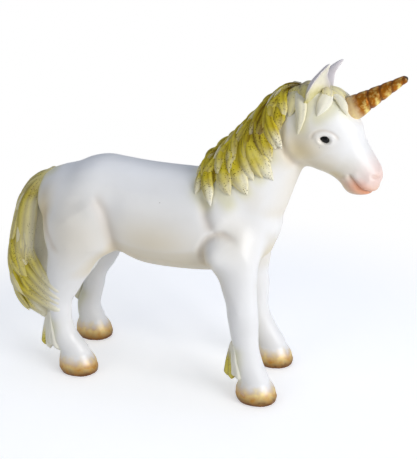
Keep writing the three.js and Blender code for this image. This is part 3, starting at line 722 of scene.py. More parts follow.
around = np.arctan2(from_foot[:, 1], from_foot @ horn_across) / (2 * pi)
phase = (around + HORN_TURNS * horn_share) % 1
# The ridge's front side is lightened as a painted highlight, and the groove browned as painted shade.
at_front = 0.2 + 0.85 * step(np.cos(2 * pi * around), -0.3, 0.8)
groove = 0.75 * hill(np.minimum(phase, 1 - phase) / 0.14) * step(horn_share, 0.05, 0.2)
ridge = hill((phase - 0.6) / 0.2) * at_front - 0.2
set_shares(horn.data, along=np.clip(horn_share, 0, 1), ridge=ridge, groove=groove)
fitted(horn, "gold_paint", "horn", material=gold_paint)

# Ears: pointed leaves of the white rubber, moulded with the head and cupped to the front and side.
# The back is lilac grey as painted shade, and the hollow is cream with yellow mist at its foot.
EAR_FOOT = (-11.3, 6.0, 10.0)
EAR_LONG = {"left": 16.2, "right": 16.5}
EAR_LEAN = {"left": -0.1, "right": -0.27}
EAR_WIDE, EAR_THICK, EAR_CUP = 7.8, 1.0, 5.2
EAR_RINGS, EAR_SIDES = 28, 36

# Vinyl rubber on the ears: white edge, cream hollow, lilac grey back as painted shade, yellow mist at the
# foot.
ear_rubber, add, place = new_material("ear_vinyl_rubber")
marks = [add("Attribute", settings={"attribute_name": n}) for n in ("hollow", "foot")]
hollow, foot = [mark.outputs["Fac"] for mark in marks]
cloud = add("TexNoise", [place, 1 / (4 * MM), 3.0])
misted = add("Math", [foot, cloud], MULTIPLY)
paint = "#c9bfc1"
for share, colour in ((cloud, "#e6e0df"), (hollow, "#f1ecda"), (misted, "#b9ae2c")):
    paint = add("Mix", [share, paint, colour], RGBA)
looks = {"Base Color": paint, "Roughness": 0.4, "IOR": 1.5}
add("OutputMaterial", [add("BsdfPrincipled", looks)])

turns = turns_of(EAR_SIDES)
for side, name in SIDES:
    to_side = np.array([0, side, 0])
    foot = HEAD_MIDDLE + EAR_FOOT[0] * NOSE_LINE + EAR_FOOT[1] * to_side + EAR_FOOT[2] * FOREHEAD_LINE
    ear_line = EAR_LEAN[name] * NOSE_LINE + 0.87 * FOREHEAD_LINE + 0.19 * to_side
    ear_line /= np.linalg.norm(ear_line)
    facing = 0.9 * NOSE_LINE + 0.42 * to_side
    facing -= facing @ ear_line * ear_line
    facing /= np.linalg.norm(facing)
    across = np.cross(ear_line, facing)
    ear_rings, hollows, feet = [], [], []
    for share in np.linspace(-0.25, 1, EAR_RINGS):
        part = max(share, 0)
        wide = EAR_WIDE * (0.66 + 0.34 * sin(pi * min(part / 0.6, 1))) * (1.02 - part**1.4) ** 0.85
        thick = EAR_THICK * (1.25 - 0.6 * part) * min(1, 12 * (1.01 - part))
        cup = EAR_CUP * (1 - 0.55 * part) * (wide / EAR_WIDE) * (0.35 + 0.65 * min(part / 0.35, 1))
        x = np.cos(turns)
        bend = cup * (x**2 - 0.35) + thick * np.sin(turns)
        middle = foot + share * EAR_LONG[name] * ear_line - 1.4 * sin(pi * part) * facing
        ear_rings.append(middle + np.outer(wide * x, across) + np.outer(bend, facing))
        hollows.append(np.clip(2.5 * np.sin(turns) + 0.2, 0, 1) * np.clip(2.2 - 2.2 * np.abs(x), 0, 1))
        feet.append(np.full(EAR_SIDES, max(0, 1.7 - 4.6 * part)))
    ear = ringed_mesh(f"ear_leaf_{name}", ear_rings)
    set_shares(ear.data, hollow=np.concatenate(hollows), foot=np.concatenate(feet))
    fitted(ear, "white_rubber", f"ear_{name}", material=ear_rubber)

# Mane: leaf-shaped locks of rubber moulded in layers from the crest down both sides of the neck.
# They are sprayed yellow from the root, left cream at the tips, and dusted with gold glitter.
NECK_FOOT = np.array([16.107, 0, 86])
NECK_LINE = np.array([0.5807, 0, 0.8141])
CREST_LINE = np.array([-0.8141, 0, 0.5807])
NECK_RADIUS, POLL = 15, 56
LOCK_POINTS, HAIR_RINGS, HAIR_SIDES = 11, 26, 20


def guide(places, lifts, wide, thick, bare=1.0, unsprayed=0.0, peak=0.68, root=0.36):
    """The guide of one lock along places on the skin: slim at its root, widest at its peak, pointed.

    unsprayed is the share without spray, or below 0 for a second coat that darkens it, partly as painted
    shade.
    """
    share = np.linspace(0, 1, len(places))
    rising = root + (1 - root) * np.sin(np.clip(share / peak, 0, 1) * pi / 2) ** 1.5
    falling = np.cos(np.clip((share - peak) / (1 - peak), 0, 1) * pi / 2) ** 0.85
    swell = np.where(share < peak, rising, falling)
    return {
        "points": np.array([place + lift * out for (place, out), lift in zip(places, lifts)]),
        "outward": np.array([out for _, out in places]),
        "wide": wide * np.maximum(swell, 0.03) * MM,
        "thick": thick * np.maximum(swell**0.6, 0.05) * MM,
        "bare": np.zeros(len(places)) + bare,
        "unsprayed": np.zeros(len(places)) + unsprayed,
    }


def hair_piece(name, node, guides, furrows, depth, under=0.6):
    """One piece of hair in place of a CAD node: its guides swept into locks by the Geometry Nodes."""
    mesh = bpy.data.meshes.new(name)
    joined = {key: np.concatenate([g[key] for g in guides]) for key in guides[0]}
    ends = np.cumsum([len(g["points"]) for g in guides])
    edges = [(i, i + 1) for i in range(ends[-1] - 1) if i + 1 not in ends]
    mesh.from_pydata((joined["points"] * MM).tolist(), edges, [])
    set_shares(mesh, **{key: joined[key] for key in ("wide", "thick", "bare", "unsprayed")})
    layer = mesh.attributes.new("outward", "FLOAT_VECTOR", "POINT")
    layer.data.foreach_set("vector", joined["outward"].astype(np.float32).ravel())
    piece = placed(name, mesh)
    sweep = piece.modifiers.new("locks", "NODES")
    sweep.node_group = hair_locks
    for socket, value in {
        "Rings": HAIR_RINGS,
        "Sides": HAIR_SIDES,
        "Furrows": furrows,
        "Furrow Depth": depth,
        "Under Share": under,
        "Material": yellow_hair,
    }.items():
        sweep[hair_sockets[socket]] = value
    baked(piece)
    for key in ("spine", "run", "ring", "outward", "wide", "thick"):
        if key in piece.data.attributes:
            piece.data.attributes.remove(piece.data.attributes[key])
    shape = opened(piece.data)
    bmesh.ops.recalc_face_normals(shape, faces=shape.faces)
    closed(shape, piece.data)
    return fitted(piece, "yellow_hair", node)


def aslant(up_line, turn, side):
    """The direction that is turned by some degrees from an upward line to one side of the toy."""
    angle = radians(turn)
    return cos(angle) * up_line + sin(angle) * np.array([0, side, 0])


def on_neck(along, turn, side):
    """A place on the neck's skin: mm up its axis, and degrees down from the crest on one side."""
    inside = min(along, POLL)
    towards = NECK_RADIUS * aslant(CREST_LINE, turn, side) + (along - inside) * NECK_LINE
    return on_skin(NECK_FOOT + inside * NECK_LINE, towards)


def neck_lock(root, tip, side, wide, thick, lift, bend=0, bare=0.1, unsprayed=0.0):
    """A lock that falls from a root to a tip on the neck, both as mm up and degrees from the crest."""
    share = np.linspace(0, 1, LOCK_POINTS)
    along = root[0] + (tip[0] - root[0]) * share**0.72
    turn = root[1] + (tip[1] - root[1]) * share**1.3 + bend * np.sin(1.5 * pi * share)
    places = [on_neck(a, t, side) for a, t in zip(along, turn)]
    lifts = lift * (1 - 0.6 * share) + thick * (0.05 + 0.4 * np.sin(pi * share))
    lifts += 0.5 * share**3 - 1.3 * (1 - share) ** 4
    return guide(places, lifts, wide, thick, bare, unsprayed)


def head_lock(root, tip, side, wide, lift, bend, bare, unsprayed, peak):
    """A lock that falls from a root to a tip on the head, both as mm ahead and degrees from its top."""
    share = np.linspace(0, 1, LOCK_POINTS)
    ahead = root[0] + (tip[0] - root[0]) * share**0.8
    turn = root[1] + (tip[1] - root[1]) * share + bend * np.sin(pi * share)
    insides = [HEAD_MIDDLE + a * NOSE_LINE for a in ahead]
    places = [on_skin(inside, aslant(FOREHEAD_LINE, t, side)) for inside, t in zip(insides, turn)]
    lifts = lift * (1 - share) + 0.08 + 0.6 * np.sin(pi * share) - 0.8 * (1 - share) ** 4
    return guide(places, lifts, wide, 1.5, bare, unsprayed, peak, root=0.6)


# Rubber hair sprayed yellow: olive in the furrows, partly as painted shade, cream at the tips, dark gold
# glitter.
yellow_hair, add, place = new_material("yellow_sprayed_hair")
marks = [add("Attribute", settings={"attribute_name": n}) for n in ("along", "furrow", "bare", "unsprayed")]
along, furrow, bare, unsprayed = [mark.outputs["Fac"] for mark in marks]
cloud = add("TexNoise", [place, 1 / (7 * MM), 3.0])
# The spray is thickest at the root and in the furrows: dark olive that is both paint and painted shade.
root = add("MapRange", [along, 0.05, 0.6, 0.7, 0.0], SMOOTH)
thick = add("Math", [furrow, 0.7, root], MULTIPLY_ADD)
# Below 0, unsprayed adds a darker second coat, partly as painted shade.
coat = add("Math", [unsprayed, 0.0], {"operation": "MINIMUM"})
thick = add("Math", [thick, coat], {"operation": "SUBTRACT", "use_clamp": True})
# It thins out towards the tips, unevenly.
mist = add("Math", [cloud, 0.5, along], MULTIPLY_ADD)
thin = add("MapRange", [mist, 0.8, 1.42], SMOOTH)
pale = add("Math", [thin, bare], MULTIPLY)
pale = add("Math", [pale, unsprayed], {"operation": "MAXIMUM"})
# Glitter flakes of up to 0.4 mm, over 1 mm apart, thick in some patches and missing in others.
flakes = add("TexVoronoi", [place, 1 / (0.9 * MM)])
flake = add("MapRange", [flakes, 0.2, 0.28, 1.0, 0.0])
patches = add("TexNoise", [place, 1 / (9 * MM), 2.0])
patch = add("MapRange", [patches, 0.41, 0.56, 0.0, 0.95])
sprayed = add("Math", [1.0, unsprayed], {"operation": "SUBTRACT"})
glitter = add("Math", [flake, patch], MULTIPLY)
glitter = add("Math", [glitter, sprayed], MULTIPLY)
paint = "#ccb400"
for share, colour in ((cloud, "#eadc52"), (thick, "#7c6300"), (pale, "#f1eddd"), (glitter, "#55400a")):
    paint = add("Mix", [share, paint, colour], RGBA)
strands = add("TexNoise", [place, 1 / (1.4 * MM), 3.0])
looks = {
    "Base Color": paint,
    "Metallic": add("Math", [glitter, 0.8], MULTIPLY),
    "Roughness": 0.42,
    "IOR": 1.5,
    "Specular IOR Level": 0.12,
    "Normal": add("Bump", {"Height": strands, "Distance": 0.12 * MM, "Strength": 0.6}),
}
add("OutputMaterial", [add("BsdfPrincipled", looks)])

# Geometry Nodes that sweep each guide line into a lock with a lens section and long furrows.
hair_locks = bpy.data.node_groups.new("hair_locks", "GeometryNodeTree")
add = partial(add_node, hair_locks)
face, hair_sockets = hair_locks.interface, {}
for name, kind in {
    "Guides": "Geometry",
    "Rings": "Int",
    "Sides": "Int",
    "Furrows": "Float",
    "Furrow Depth": "Float",
    "Under Share": "Float",
    "Material": "Material",
}.items():
    made = face.new_socket(name, in_out="INPUT", socket_type=f"NodeSocket{kind}")
    hair_sockets[name] = made.identifier
face.new_socket("Locks", in_out="OUTPUT", socket_type="NodeSocketGeometry")
given = add("NodeGroupInput").outputs
vector = {"data_type": "FLOAT_VECTOR"}
outward, spine, run, ring, wide, thick = [
    add("GeometryNodeInputNamedAttribute", [name], vector if i < 4 else {"data_type": "FLOAT"})
    for i, name in enumerate(("outward", "spine", "run", "ring", "wide", "thick"))
]
lines = add("GeometryNodeMeshToCurve", [given["Guides"]])
smooth = add("GeometryNodeCurveSplineType", [lines], {"spline_type": "CATMULL_ROM"})
sweep = add("GeometryNodeResampleCurve", {"Curve": smooth, "Count": given["Rings"]})
place = add("GeometryNodeInputPosition")
circle = add("GeometryNodeCurvePrimitiveCircle", [given["Sides"], 1.0])
keep = "GeometryNodeStoreNamedAttribute"
section = add(keep, {"Geometry": circle, "Name": "ring", "Value": place}, vector)
for name, settings, value in (
    ("along", {"data_type": "FLOAT"}, add("GeometryNodeSplineParameter")),
    ("spine", vector, place),
    ("run", vector, add("GeometryNodeInputTangent")),
):
    sweep = add(keep, {"Geometry": sweep, "Name": name, "Value": value}, settings)
ends = {"Curve": sweep, "Profile Curve": section, "Fill Caps": True}
swept = add("GeometryNodeCurveToMesh", ends)
cross, unit = {"operation": "CROSS_PRODUCT"}, {"operation": "NORMALIZE"}
across = add("VectorMath", [add("VectorMath", [outward, run], cross)], unit)
rise = add("VectorMath", [add("VectorMath", [run, across], cross)], unit)
x, y, _ = add("SeparateXYZ", [ring]).outputs
# Furrows lie where the wave across the lock is low: |cos| has a sharp valley and a round ridge.
# The hair material darkens the furrows, in part as painted shade.
wave = add("Math", [add("Math", [x, given["Furrows"]], MULTIPLY)], {"operation": "COSINE"})
ridge = add("Math", [wave], {"operation": "ABSOLUTE"})
furrow = add("Math", [1.0, ridge], {"operation": "SUBTRACT"})
cut = add("Math", [furrow, given["Furrow Depth"]], MULTIPLY)
top = add("Math", [1.0, cut], {"operation": "SUBTRACT"})
is_top = add("Math", [y, 0.0], {"operation": "GREATER_THAN"})
stretch = add("Mix", [is_top, given["Under Share"], top], {"data_type": "FLOAT"})
tall = add("Math", [add("Math", [y, stretch], MULTIPLY), thick], MULTIPLY)
broad = add("Math", [x, wide], MULTIPLY)
moved = spine
for direction, length in ((across, broad), (rise, tall)):
    moved = add("VectorMath", [direction, length, moved], MULTIPLY_ADD)
made = add(keep, {"Geometry": swept, "Name": "furrow", "Value": furrow}, {"data_type": "FLOAT"})
made = add("GeometryNodeSetPosition", {"Geometry": made, "Position": moved})
made = add("GeometryNodeSetShadeSmooth", {"Geometry": made, "Shade Smooth": True})
made = add("GeometryNodeRealizeInstances", [made])
made = add("GeometryNodeSetMaterial", {"Geometry": made, "Material": given["Material"]})
add("NodeGroupOutput", [made])

# Locks down each side: root and tip as mm up the neck, the tip's turn from the crest, half width, how
# far the lock lies over those below it, and how far its tip is left bare. The lowest come first.
ROOT_TURN = 13
LOCKS = [
    (24, 7.0, 12, 1.7, -0.6, 0.6), (27, 6.0, 26, 1.9, -0.6, 0.7), (25, 3.0, 45, 2.4, -0.4, 1.1),
    (25, 5.2, 73, 3.0, 0.5, 1.2), (29, 13.3, 92, 4.1, 0.2, 1.2), (38, 19.0, 98, 4.7, 0.0, 1.2),
    (41, 24.8, 101, 3.5, 0.5, 0.9), (44, 27.6, 113, 3.4, 0.8, 0.7), (47, 30.1, 119, 4.0, 0.3, 1.2),
    (52, 35.5, 110, 3.6, 0.1, 0.8), (57, 41.0, 96, 3.8, 0.3, 1.2), (61, 42.5, 100, 2.5, 1.2, 1.3),
    (63, 47.5, 82, 3.3, 0.2, 0.6), (67, 53.9, 63, 2.6, 1.0, 0.8),
    (35, 15.5, 56, 2.9, 1.0, 0.7), (38, 19.0, 77, 2.2, 0.9, 0.9), (43, 21.0, 64, 3.0, 1.1, 0.8),
    (46, 26.5, 84, 2.3, 1.0, 0.5), (52, 28.5, 70, 3.0, 1.1, 0.3), (56, 35.2, 88, 2.7, 0.9, 0.2),
    (60, 36.5, 72, 3.0, 1.1, 0.3), (63, 42.0, 62, 2.5, 1.0, 0.2), (67, 46.0, 58, 2.8, 1.1, 0.4),
    (24, 9.8, 48, 2.6, 1.0, 0.7), (22, 9.4, 35, 2.0, 0.9, 0.5), (20, 10.0, 22, 1.6, 0.7, 0.4),
    (38, 19.0, 37, 2.4, 1.5, 0.4), (45, 25.0, 49, 2.1, 1.6, 0.6), (51, 29.5, 37, 2.6, 1.6, 0.4),
    (57, 36.0, 51, 2.2, 1.6, 0.6), (62, 39.5, 36, 2.5, 1.6, 0.4), (67, 48.0, 44, 2.4, 1.5, 0.5),
]
# Locks at the poll, behind the ear: root and tip as mm ahead and degrees from the top of the head, half
# width, lift, bend, and the shares of the tip and of the whole lock that are left bare.
POLL_LOCKS = [
    ((-18, 4), (-16.5, 70), 3.2, 0.5, -4, 0.4, 0.25),
    ((-19, 22), (-12.2, 103), 3.2, 0.7, 5, 0.9, 0.45),
    ((-20, 41), (-4.6, 110), 2.6, 0.9, -10, 1.2, 0.75),
    ((-17, 8), (-12, 57), 3.2, 1.2, 0, 0.4, 0.3),
]
for side, name in SIDES:
    locks = []
    for number, (root, tip, tip_turn, wide, lift, bare) in enumerate(LOCKS):
        sway = sin(2.3 * number + side)
        start = (root, ROOT_TURN - 4 * lift)
        end = (tip + 0.5 * sway, tip_turn + 2 * sway)
        # The middle locks get a darker second coat, part paint and part painted shade.
        coat = 0.7 * max(0, 1 - abs(tip - 36) / 18) * max(0, 1 - abs(tip_turn - 70) / 48)
        locks.append(neck_lock(start, end, side, wide, 2.0, lift, 9 * sway, bare, unsprayed=-coat))
        # Under each lock that lies low, a broader bed lock in a dark second coat is painted shade beneath
        # it.
        if 0 <= lift < 0.9:
            shade_bed_tip = (tip + 0.25 * (root - tip), ROOT_TURN + 0.7 * (tip_turn - ROOT_TURN))
            locks.append(neck_lock(start, shade_bed_tip, side, 1.4 * wide, 1.2, -0.5, bare=0, unsprayed=-0.35))
    for root, tip, wide, lift, bend, bare, unsprayed in POLL_LOCKS:
        locks.append(head_lock(root, tip, side, wide, lift, bend, bare, unsprayed, peak=0.42))
    hair_piece(f"mane_locks_{name}", f"mane_{name}", locks, furrows=3.0, depth=0.22)

# The crest: low humps along the middle, and fine pale strands combed along it over the locks' roots.
CREST_START, CREST_END = 18, 72
HUMP_APART, STRAND_APART = 9.0, 2.6
locks = []
for number, along in enumerate(np.arange(CREST_START, CREST_END, HUMP_APART)):
    lift = 1.3 + 0.4 * sin(1.9 * number)
    side = -1 if number % 2 else 1
    locks.append(neck_lock((along + 4, 2), (along - 7, 9), side, 3.0, 2.0, lift, unsprayed=-0.2))
for number, along in enumerate(np.arange(CREST_START, CREST_END + 4, STRAND_APART)):
    for side in (1, -1):
        sway = sin(2.6 * number + side)
        tip = (max(along - 20 + 3 * sway, 10), 25 + 11 * sway)
        lift = 0.9 + 2.2 * step(along, CREST_START, 40)
        start, pale = (along + 2 * side, 6), 0.28 + 0.4 * sway
        locks.append(neck_lock(start, tip, side, 0.7, 1.0, lift, unsprayed=pale))
ridge_places = [on_neck(a, 0, 1) for a in np.linspace(CREST_END, 8, 2 * LOCK_POINTS)]
ridge_lifts = -0.7 + 0.9 * np.sin(np.linspace(0.2, 2.9, 2 * LOCK_POINTS))
locks.append(guide(ridge_places, ridge_lifts, wide=4.6, thick=2.0, bare=0, unsprayed=-0.3))
hair_piece("mane_crest_strands", "mane_crest", locks, furrows=2.4, depth=0.25)

# Forelock: four locks a side that part between the ears and fall on the forehead, like the mane.
# The outer ones curl round below the ears, the inner ones hang beside the horn's foot.
FORELOCK = [
    ((-9, 6), (-4.6, 58), 2.9, 0.2, -4, 0.92),
    ((-11, 3), (-5.5, 34), 2.4, 0.7, -4, 0.55),
    ((-9, 4), (3.9, 24), 2.0, 0.2, 3, 0.85),
    ((-12, 0), (-1.0, 8), 2.6, 0.8, 0, 0.5),
]
locks = []
for side in (1, -1):
    for root, tip, wide, lift, bend, unsprayed in FORELOCK:
        locks.append(head_lock(root, tip, side, wide, lift, bend, 1.0, unsprayed, peak=0.55))
hair_piece("forelock_locks", "forelock", locks, furrows=2.8, depth=0.2)

# Tail: a switch of rubber hair rooted in the rump, that hangs clear of the thighs and curls round
# until its end is bonded to the right hock. It is sprayed and dusted like the mane.
DOCK_X = -55.5
TAIL_BACK, TAIL_ASIDE = 27.5, 17.5
TAIL_HEIGHTS = (27.5, 30.5, 37.5, 47, 58, 70, 82, 89.3, 94)
TAIL_BACK_SHARES = (0.38, 0.648, 0.845, 0.955, 0.95, 0.867, 0.77, 0.618, 0.345)
TAIL_ASIDE_SHARES = (0.93, 0.743, 0.543, 0.343, 0.2, 0.086, 0.03, 0, 0)
# Where the top locks start on the rump: x, how far they spread, and how deep they are sunk.
RUMP_ROOTS = ((-62.5, 0.5, 3.4), (-66.5, 0.7, 2.6), (-70.5, 0.9, 1.2))
RUMP_INSIDE, RUMP_SPREAD = 80, 7
HOCK_X, HOCK_Y, HOCK_OUT = -56, -17.5, 8
TAIL_CLEAR = 14
TAIL_GRID = 1.2 * MM

tail = remeshed(welded_copy("tail_switch", "tail"), TAIL_GRID)
eased(tail.data, 8)
rounded(tail)
tail_points = points_of(tail.data) / MM
tail_x, _, tail_z = tail_points.T
# Its root sinks into the rump, so that the hair seems to start there without a step.
for i in np.flatnonzero((tail_x > -82) & (tail_z > 84)):
    x, y, z = tail_points[i]
    rump = on_skin((max(x, -72), y, RUMP_INSIDE), (0, 0, 1))[0][2]
    tail_points[i, 2] = min(z, rump - 0.7 + 0.55 * np.clip(-66 - x, 0, 6) - 0.2 * max(-72 - x, 0))


def tail_middle(height):
    """The middle of the tail at a height, in mm."""
    back = TAIL_BACK * np.interp(height, TAIL_HEIGHTS, TAIL_BACK_SHARES)
    aside = TAIL_ASIDE * np.interp(height, TAIL_HEIGHTS, TAIL_ASIDE_SHARES)
    return np.stack([DOCK_X - back, -aside, height], axis=-1)


def round_tail(points):
    """The angle of each point round the middle of the tail, from its back to the right."""
    beyond = points - tail_middle(points[:, 2])
    return np.arctan2(-beyond[:, 1], -beyond[:, 0])


def at_dock(points):
    """How close each point lies to the dock, where the tail leaves the rump."""
    return step(points[:, 0], -77, -68) * step(points[:, 2], 80, 88)


# The switch itself has soft furrows along its length, deepest at the back.
around = round_tail(tail_points)
wave = np.abs(np.cos(3.5 * around + 0.05 * tail_z))
at_back = 0.35 + 0.65 * step(np.cos(around), -0.4, 0.5)
to_thigh = step(-np.cos(around), 0.0, 0.8) * hill((tail_z - 57) / 17)
tail_relief = 2.8 * to_thigh - 0.55 * (1 - wave) * at_back
set_points(tail.data, (tail_points + normals_of(tail.data) * tail_relief[:, None]) * MM)
tail.data.shade_smooth()
bare_end = 0.8 * step(tail_z, 34, 27)
inner_face = 0.8 * step(-np.cos(around), -0.4, 0.4)
set_shares(
    tail.data,
    along=np.maximum(step(tail_z, 42, 24), 0.4),
    furrow=np.clip((1 - wave) * at_back, 0, 1),
    bare=np.full(len(tail_points), 0.9),
    unsprayed=np.max([bare_end, 0.45 * at_dock(tail_points), inner_face], axis=0),
)
fitted(tail, "yellow_hair", "tail", material=yellow_hair)
tail_faces = [list(face.vertices) for face in tail.data.polygons]
tail_tree = BVHTree.FromPolygons(points_of(tail.data).tolist(), tail_faces, epsilon=RAY_SLACK)


def tail_lock(top, bottom, turn, twist, wide, thick, lift, bare, pale=0.1, from_rump=False, onto_hock=()):
    """A lock down the tail between two heights, at a turn in degrees from its back to the right."""
    share = np.linspace(0, 1, LOCK_POINTS)
    middles = tail_middle(top + (bottom - top) * share)
    places = []
    for middle, run, part in zip(middles, np.gradient(middles, axis=0), share):
        right = np.cross((-1, 0, 0), run)
        right /= np.linalg.norm(right)
        behind = np.cross(run / np.linalg.norm(run), right)
        angle = radians(turn + twist * part)
        beyond = middle + TAIL_CLEAR * (cos(angle) * behind + sin(angle) * right)
        place, normal, _, _ = tail_tree.find_nearest(Vector(beyond) * MM)
        places.append((np.array(place) / MM, np.array(normal)))
    lifts = lift * (1 - 0.5 * share) + thick * (0.15 + 0.5 * np.sin(pi * share)) - 1.4 * (1 - share) ** 4
    unsprayed = pale
    if from_rump:
        aside = -RUMP_SPREAD * sin(radians(turn))
        roots = [on_skin((x, aside * spread, RUMP_INSIDE), (0, 0, 1)) for x, spread, _ in RUMP_ROOTS]
        places = roots + places
        lifts = np.concatenate([[-sunk for _, _, sunk in RUMP_ROOTS], np.maximum(lifts, 0.1)])
        unsprayed = np.clip(0.4 - 0.9 * np.linspace(0, 1, len(places)), pale, 1)
    if onto_hock:
        places += [on_skin((HOCK_X, HOCK_Y, z), (x - HOCK_X, -HOCK_OUT, 0)) for x, z in onto_hock]
        lifts = np.concatenate([lifts, np.linspace(0.4, -1.2, len(onto_hock))])
        unsprayed = step(np.linspace(0, 1, len(places)), 0.64, 0.93)
    made = guide(places, lifts, wide, thick, bare, unsprayed, peak=0.75 if onto_hock else 0.6, root=0.6)
    points = made["points"]
    for _ in range(2):
        points[1:-1] = (points[:-2] + 2 * points[1:-1] + points[2:]) / 4
    return made


# Tiers of locks: top and bottom heights, turns from the back, how far they wind round, half width, and
# how much their lengths differ.
TIERS = [
    ("tail_upper_locks", 90.0, 50.0, (-112, -78, -46, -16, 12, 40, 68, 92), 16, 3.7, 10),
    ("tail_lower_locks", 74.0, 34.0, (-120, -86, -54, -24, 6, 34, 62), 62, 3.5, 5),
]
# The lowest locks sweep on over the right hock: heights on the tail, a turn, and (x, z) on the hock.
HOCK_LOCKS = [
    (84, 52, 104, ((-64, 46.5), (-61, 44.5), (-57, 43), (-53, 42.5))),
    (76, 47, 90, ((-64, 42.5), (-61, 40.8), (-58, 39.5), (-55.5, 39))),
    (66, 41, 78, ((-64, 38.8), (-61, 37.3), (-57, 36.4), (-52.5, 36.3))),
    (56, 36, 66, ((-64, 35), (-61.5, 34), (-59.5, 33.4), (-58, 33))),
]
for node, top, bottom, tier_turns, wind, wide, uneven in TIERS:
    on_rump = node == "tail_upper_locks"
    locks = []
    for number, turn in enumerate(tier_turns):
        sway = sin(1.9 * number + top)
        low, twist, pale = bottom + uneven * sway, wind + 8 * sway, 0.15 - 0.15 * sway
        locks.append(
            tail_lock(top, low, turn, twist, wide, 2.1, lift=0.2, bare=0.4, pale=pale, from_rump=on_rump)
        )
        # Slimmer strands cross over it.
        for strand, across in ((0.15, 14), (0.4, -10), (0.62, 8)):
            start = top - strand * (top - bottom)
            end = start - (0.42 + 0.1 * sway) * (top - bottom)
            begin, twist = turn + wind * strand + across, wind * 0.6 - 1.6 * across
            pale = 0.3 + 0.3 * sin(5 * number + 9 * strand)
            locks.append(tail_lock(start, end, begin, twist, 1.7, 1.4, lift=1.3, bare=0.5, pale=pale))
    if not on_rump:
        for top, bottom, turn, ending in HOCK_LOCKS:
            locks.append(tail_lock(top, bottom, turn, 10, 2.6, 1.6, lift=0.4, bare=0.5, onto_hock=ending))
    tier = hair_piece(f"{node}_strands", node, locks, furrows=3.0, depth=0.22)
    # The spray thins out on the side towards the thigh, and is no thicker at the roots.
    points = points_of(tier.data) / MM
    inward = step(round_tail(points), radians(60), radians(120))
    mist = 0.6 * inward * step(points[:, 2], 50, 62) * step(points[:, 2], 90, 80)
    shares = np.empty(len(points), np.float32)
    for mark, least, kept in (
        ("unsprayed", np.maximum(mist, 0.45 * at_dock(points)), 1.0),
        ("along", 0.4, 1.0),
        ("furrow", 0.0, 1 - at_dock(points)),
    ):
        layer = tier.data.attributes[mark]
        layer.data.foreach_get("value", shares)
        layer.data.foreach_set("value", np.maximum(kept * shares, least).astype(np.float32))

# Feathers: a fin of rubber hair moulded behind each fetlock, from the skin at its top to a free edge.
# Its ridges are white like the skin, and the rearmost has yellow mist.
# Each has its top and bottom heights, and how far its rear ridge is sprayed.
FEATHERS = {
    "fore_left": (28, 10, 0.9),
    "fore_right": (28, 10, 0.9),
    "hind_left": (31, 19, 0.2),
    "hind_right": (31.5, 10.8, 0.9),
}
FIN_RIDGES = 4


def leg_ring(foot, height):
    """The points of a leg's skin close to a height, in mm."""
    x, y, z = outside.T / MM
    on_leg = ((x > 0) == foot.startswith("fore")) & ((y > 0) == foot.endswith("left"))
    return outside[on_leg & (np.abs(z - height) < 1.2)] / MM


share = np.linspace(0, 1, LOCK_POINTS)
for foot, (top, low, spray) in FEATHERS.items():
    locks = []
    rear_top = leg_ring(foot, top)[:, 0].min()
    out, first, late = (2.2, 0.3, 0.1) if foot.startswith("fore") else (4.0, 0.6, 0.4)
    outer = 1 if foot.endswith("left") else -1
    for number in range(FIN_RIDGES):
        deep = number / (FIN_RIDGES - 1)
        heights = top + (low + 1.2 * sin(2.1 * number) - top) * share
        spine = []
        for height, part in zip(heights, share):
            ring = leg_ring(foot, height)
            rear, (right, left) = ring[:, 0].min(), (ring[:, 1].min(), ring[:, 1].max())
            x = (1 - deep) * (rear + 1.6) + deep * min(rear_top - out * part**0.6, rear + 0.6)
            y = (right + left) / 2 + outer * (1 - deep) * 0.25 * (left - right)
            spine.append((np.array([x, y, height]), np.array([0, 1, 0])))
        mist = 1 - spray * step(deep, first, first + 0.4) * step(share, late, late + 0.4)
        thick = 2.1 - 0.6 * deep
        locks.append(guide(spine, 0 * share, 1.8, thick, bare=0.2, unsprayed=mist, peak=0.88, root=0.4))
    hair_piece(f"feather_locks_{foot}", f"feather_{foot}", locks, furrows=1.3, depth=0.1, under=1.0)

# Stage: a plain pale floor, soft studio light and a camera a little above the toy's back.
# The floor glows only for the camera, so that it goes to white and keeps the toy's shadow.
FLOOR = 3.0
SHADOW_REACH = 0.22
HIGHEST = {"operation": "MAXIMUM"}
floor_mesh = bpy.data.meshes.new("floor")
corners = [(-FLOOR, -FLOOR, 0), (FLOOR, -FLOOR, 0), (FLOOR, FLOOR, 0), (-FLOOR, FLOOR, 0)]
floor_mesh.from_pydata(corners, [], [(0, 1, 2, 3)])
floor = placed("floor", floor_mesh)
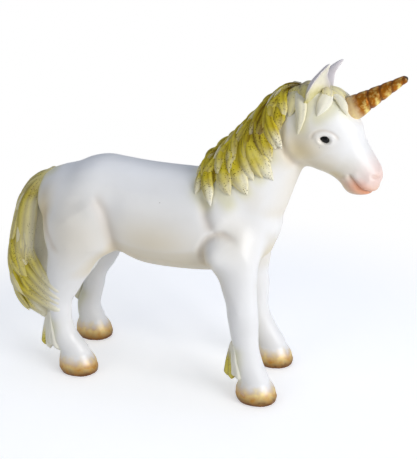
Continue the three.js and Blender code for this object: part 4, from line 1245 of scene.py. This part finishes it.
# White card: grey-white where the toy's shadow falls, and plain white further out.
white_card, add, place = new_material("white_card")
rays = add("LightPath").outputs
seen = add("Math", [rays["Is Camera Ray"], rays["Is Glossy Ray"]], HIGHEST)
away = add("VectorMath", [place], {"operation": "LENGTH"})
far = add("MapRange", [away, SHADOW_REACH / 2, SHADOW_REACH], SMOOTH)
tone = add("Mix", [seen, "#f0f0f0", "#e4e4e4"], RGBA)
lift = add("Math", [seen, 0.45], MULTIPLY)
glow = add("Emission", {"Strength": lift})
near = add("AddShader", [add("BsdfDiffuse", {"Color": tone}), glow])
plain = add("Emission", {"Strength": 1.0})
both = add("MixShader", [add("Math", [far, seen], MULTIPLY), near, plain])
add("OutputMaterial", {"Surface": both})
floor_mesh.materials.append(white_card)

# Cool light comes from above and a little warm light from below, as in a white room with a wooden floor.
scene = bpy.context.scene
scene.world = bpy.data.worlds.new("studio")
scene.world.use_nodes = True
scene.world.node_tree.nodes.clear()
add = partial(add_node, scene.world.node_tree)
rays = add("LightPath").outputs
seen = add("Math", [rays["Is Camera Ray"], rays["Is Transmission Ray"]], HIGHEST)
upward = add("SeparateXYZ", [add("TexCoord").outputs["Generated"]]).outputs["Z"]
room = add("Mix", [add("MapRange", [upward, -0.5, 0.6]), "#85827c", "#8690a2"], RGBA)
sky = add("Background", [add("Mix", [seen, room, "#ffffff"], RGBA), 1.0])
add("OutputWorld", {"Surface": sky})

# Soft boxes aimed at the middle of the toy: place, watts and colour.
MIDDLE = Vector((0, 0, 0.08))
BOX_SIZE = 0.6
for name, place, watts, colour in (
    ("key", (0.85, -0.4, 0.42), 7.0, "#ffffff"),
    ("fill", (-0.5, -0.8, 0.5), 1.5, "#fff5da"),
    ("top", (-0.1, 0.25, 0.95), 1.4, "#eaf0ff"),
):
    light = bpy.data.lights.new(name, "AREA")
    light.shape = "SQUARE"
    light.size = BOX_SIZE
    light.energy = watts
    light.color = linear(colour)[:3]
    lamp = placed(name, light)
    lamp.location = place
    lamp.rotation_euler = (MIDDLE - Vector(place)).to_track_quat("-Z", "Y").to_euler()

FRAME_TALL, FOCAL, SENSOR = 459, 922, 36.0
AZIMUTH, ELEVATION, DISTANCE = radians(17.0), radians(22.5), 420 * MM
TARGET = Vector((8.107, 0, 74)) * MM
level = cos(ELEVATION)
back = Vector((sin(AZIMUTH) * level, -cos(AZIMUTH) * level, sin(ELEVATION)))
lens = bpy.data.cameras.new("camera")
lens.sensor_width = SENSOR
lens.lens = SENSOR * FOCAL / FRAME_TALL
scene.camera = placed("camera", lens)
scene.camera.location = TARGET + DISTANCE * back
scene.camera.rotation_euler = back.to_track_quat("Z", "Y").to_euler()
scene.view_settings.view_transform = "Standard"
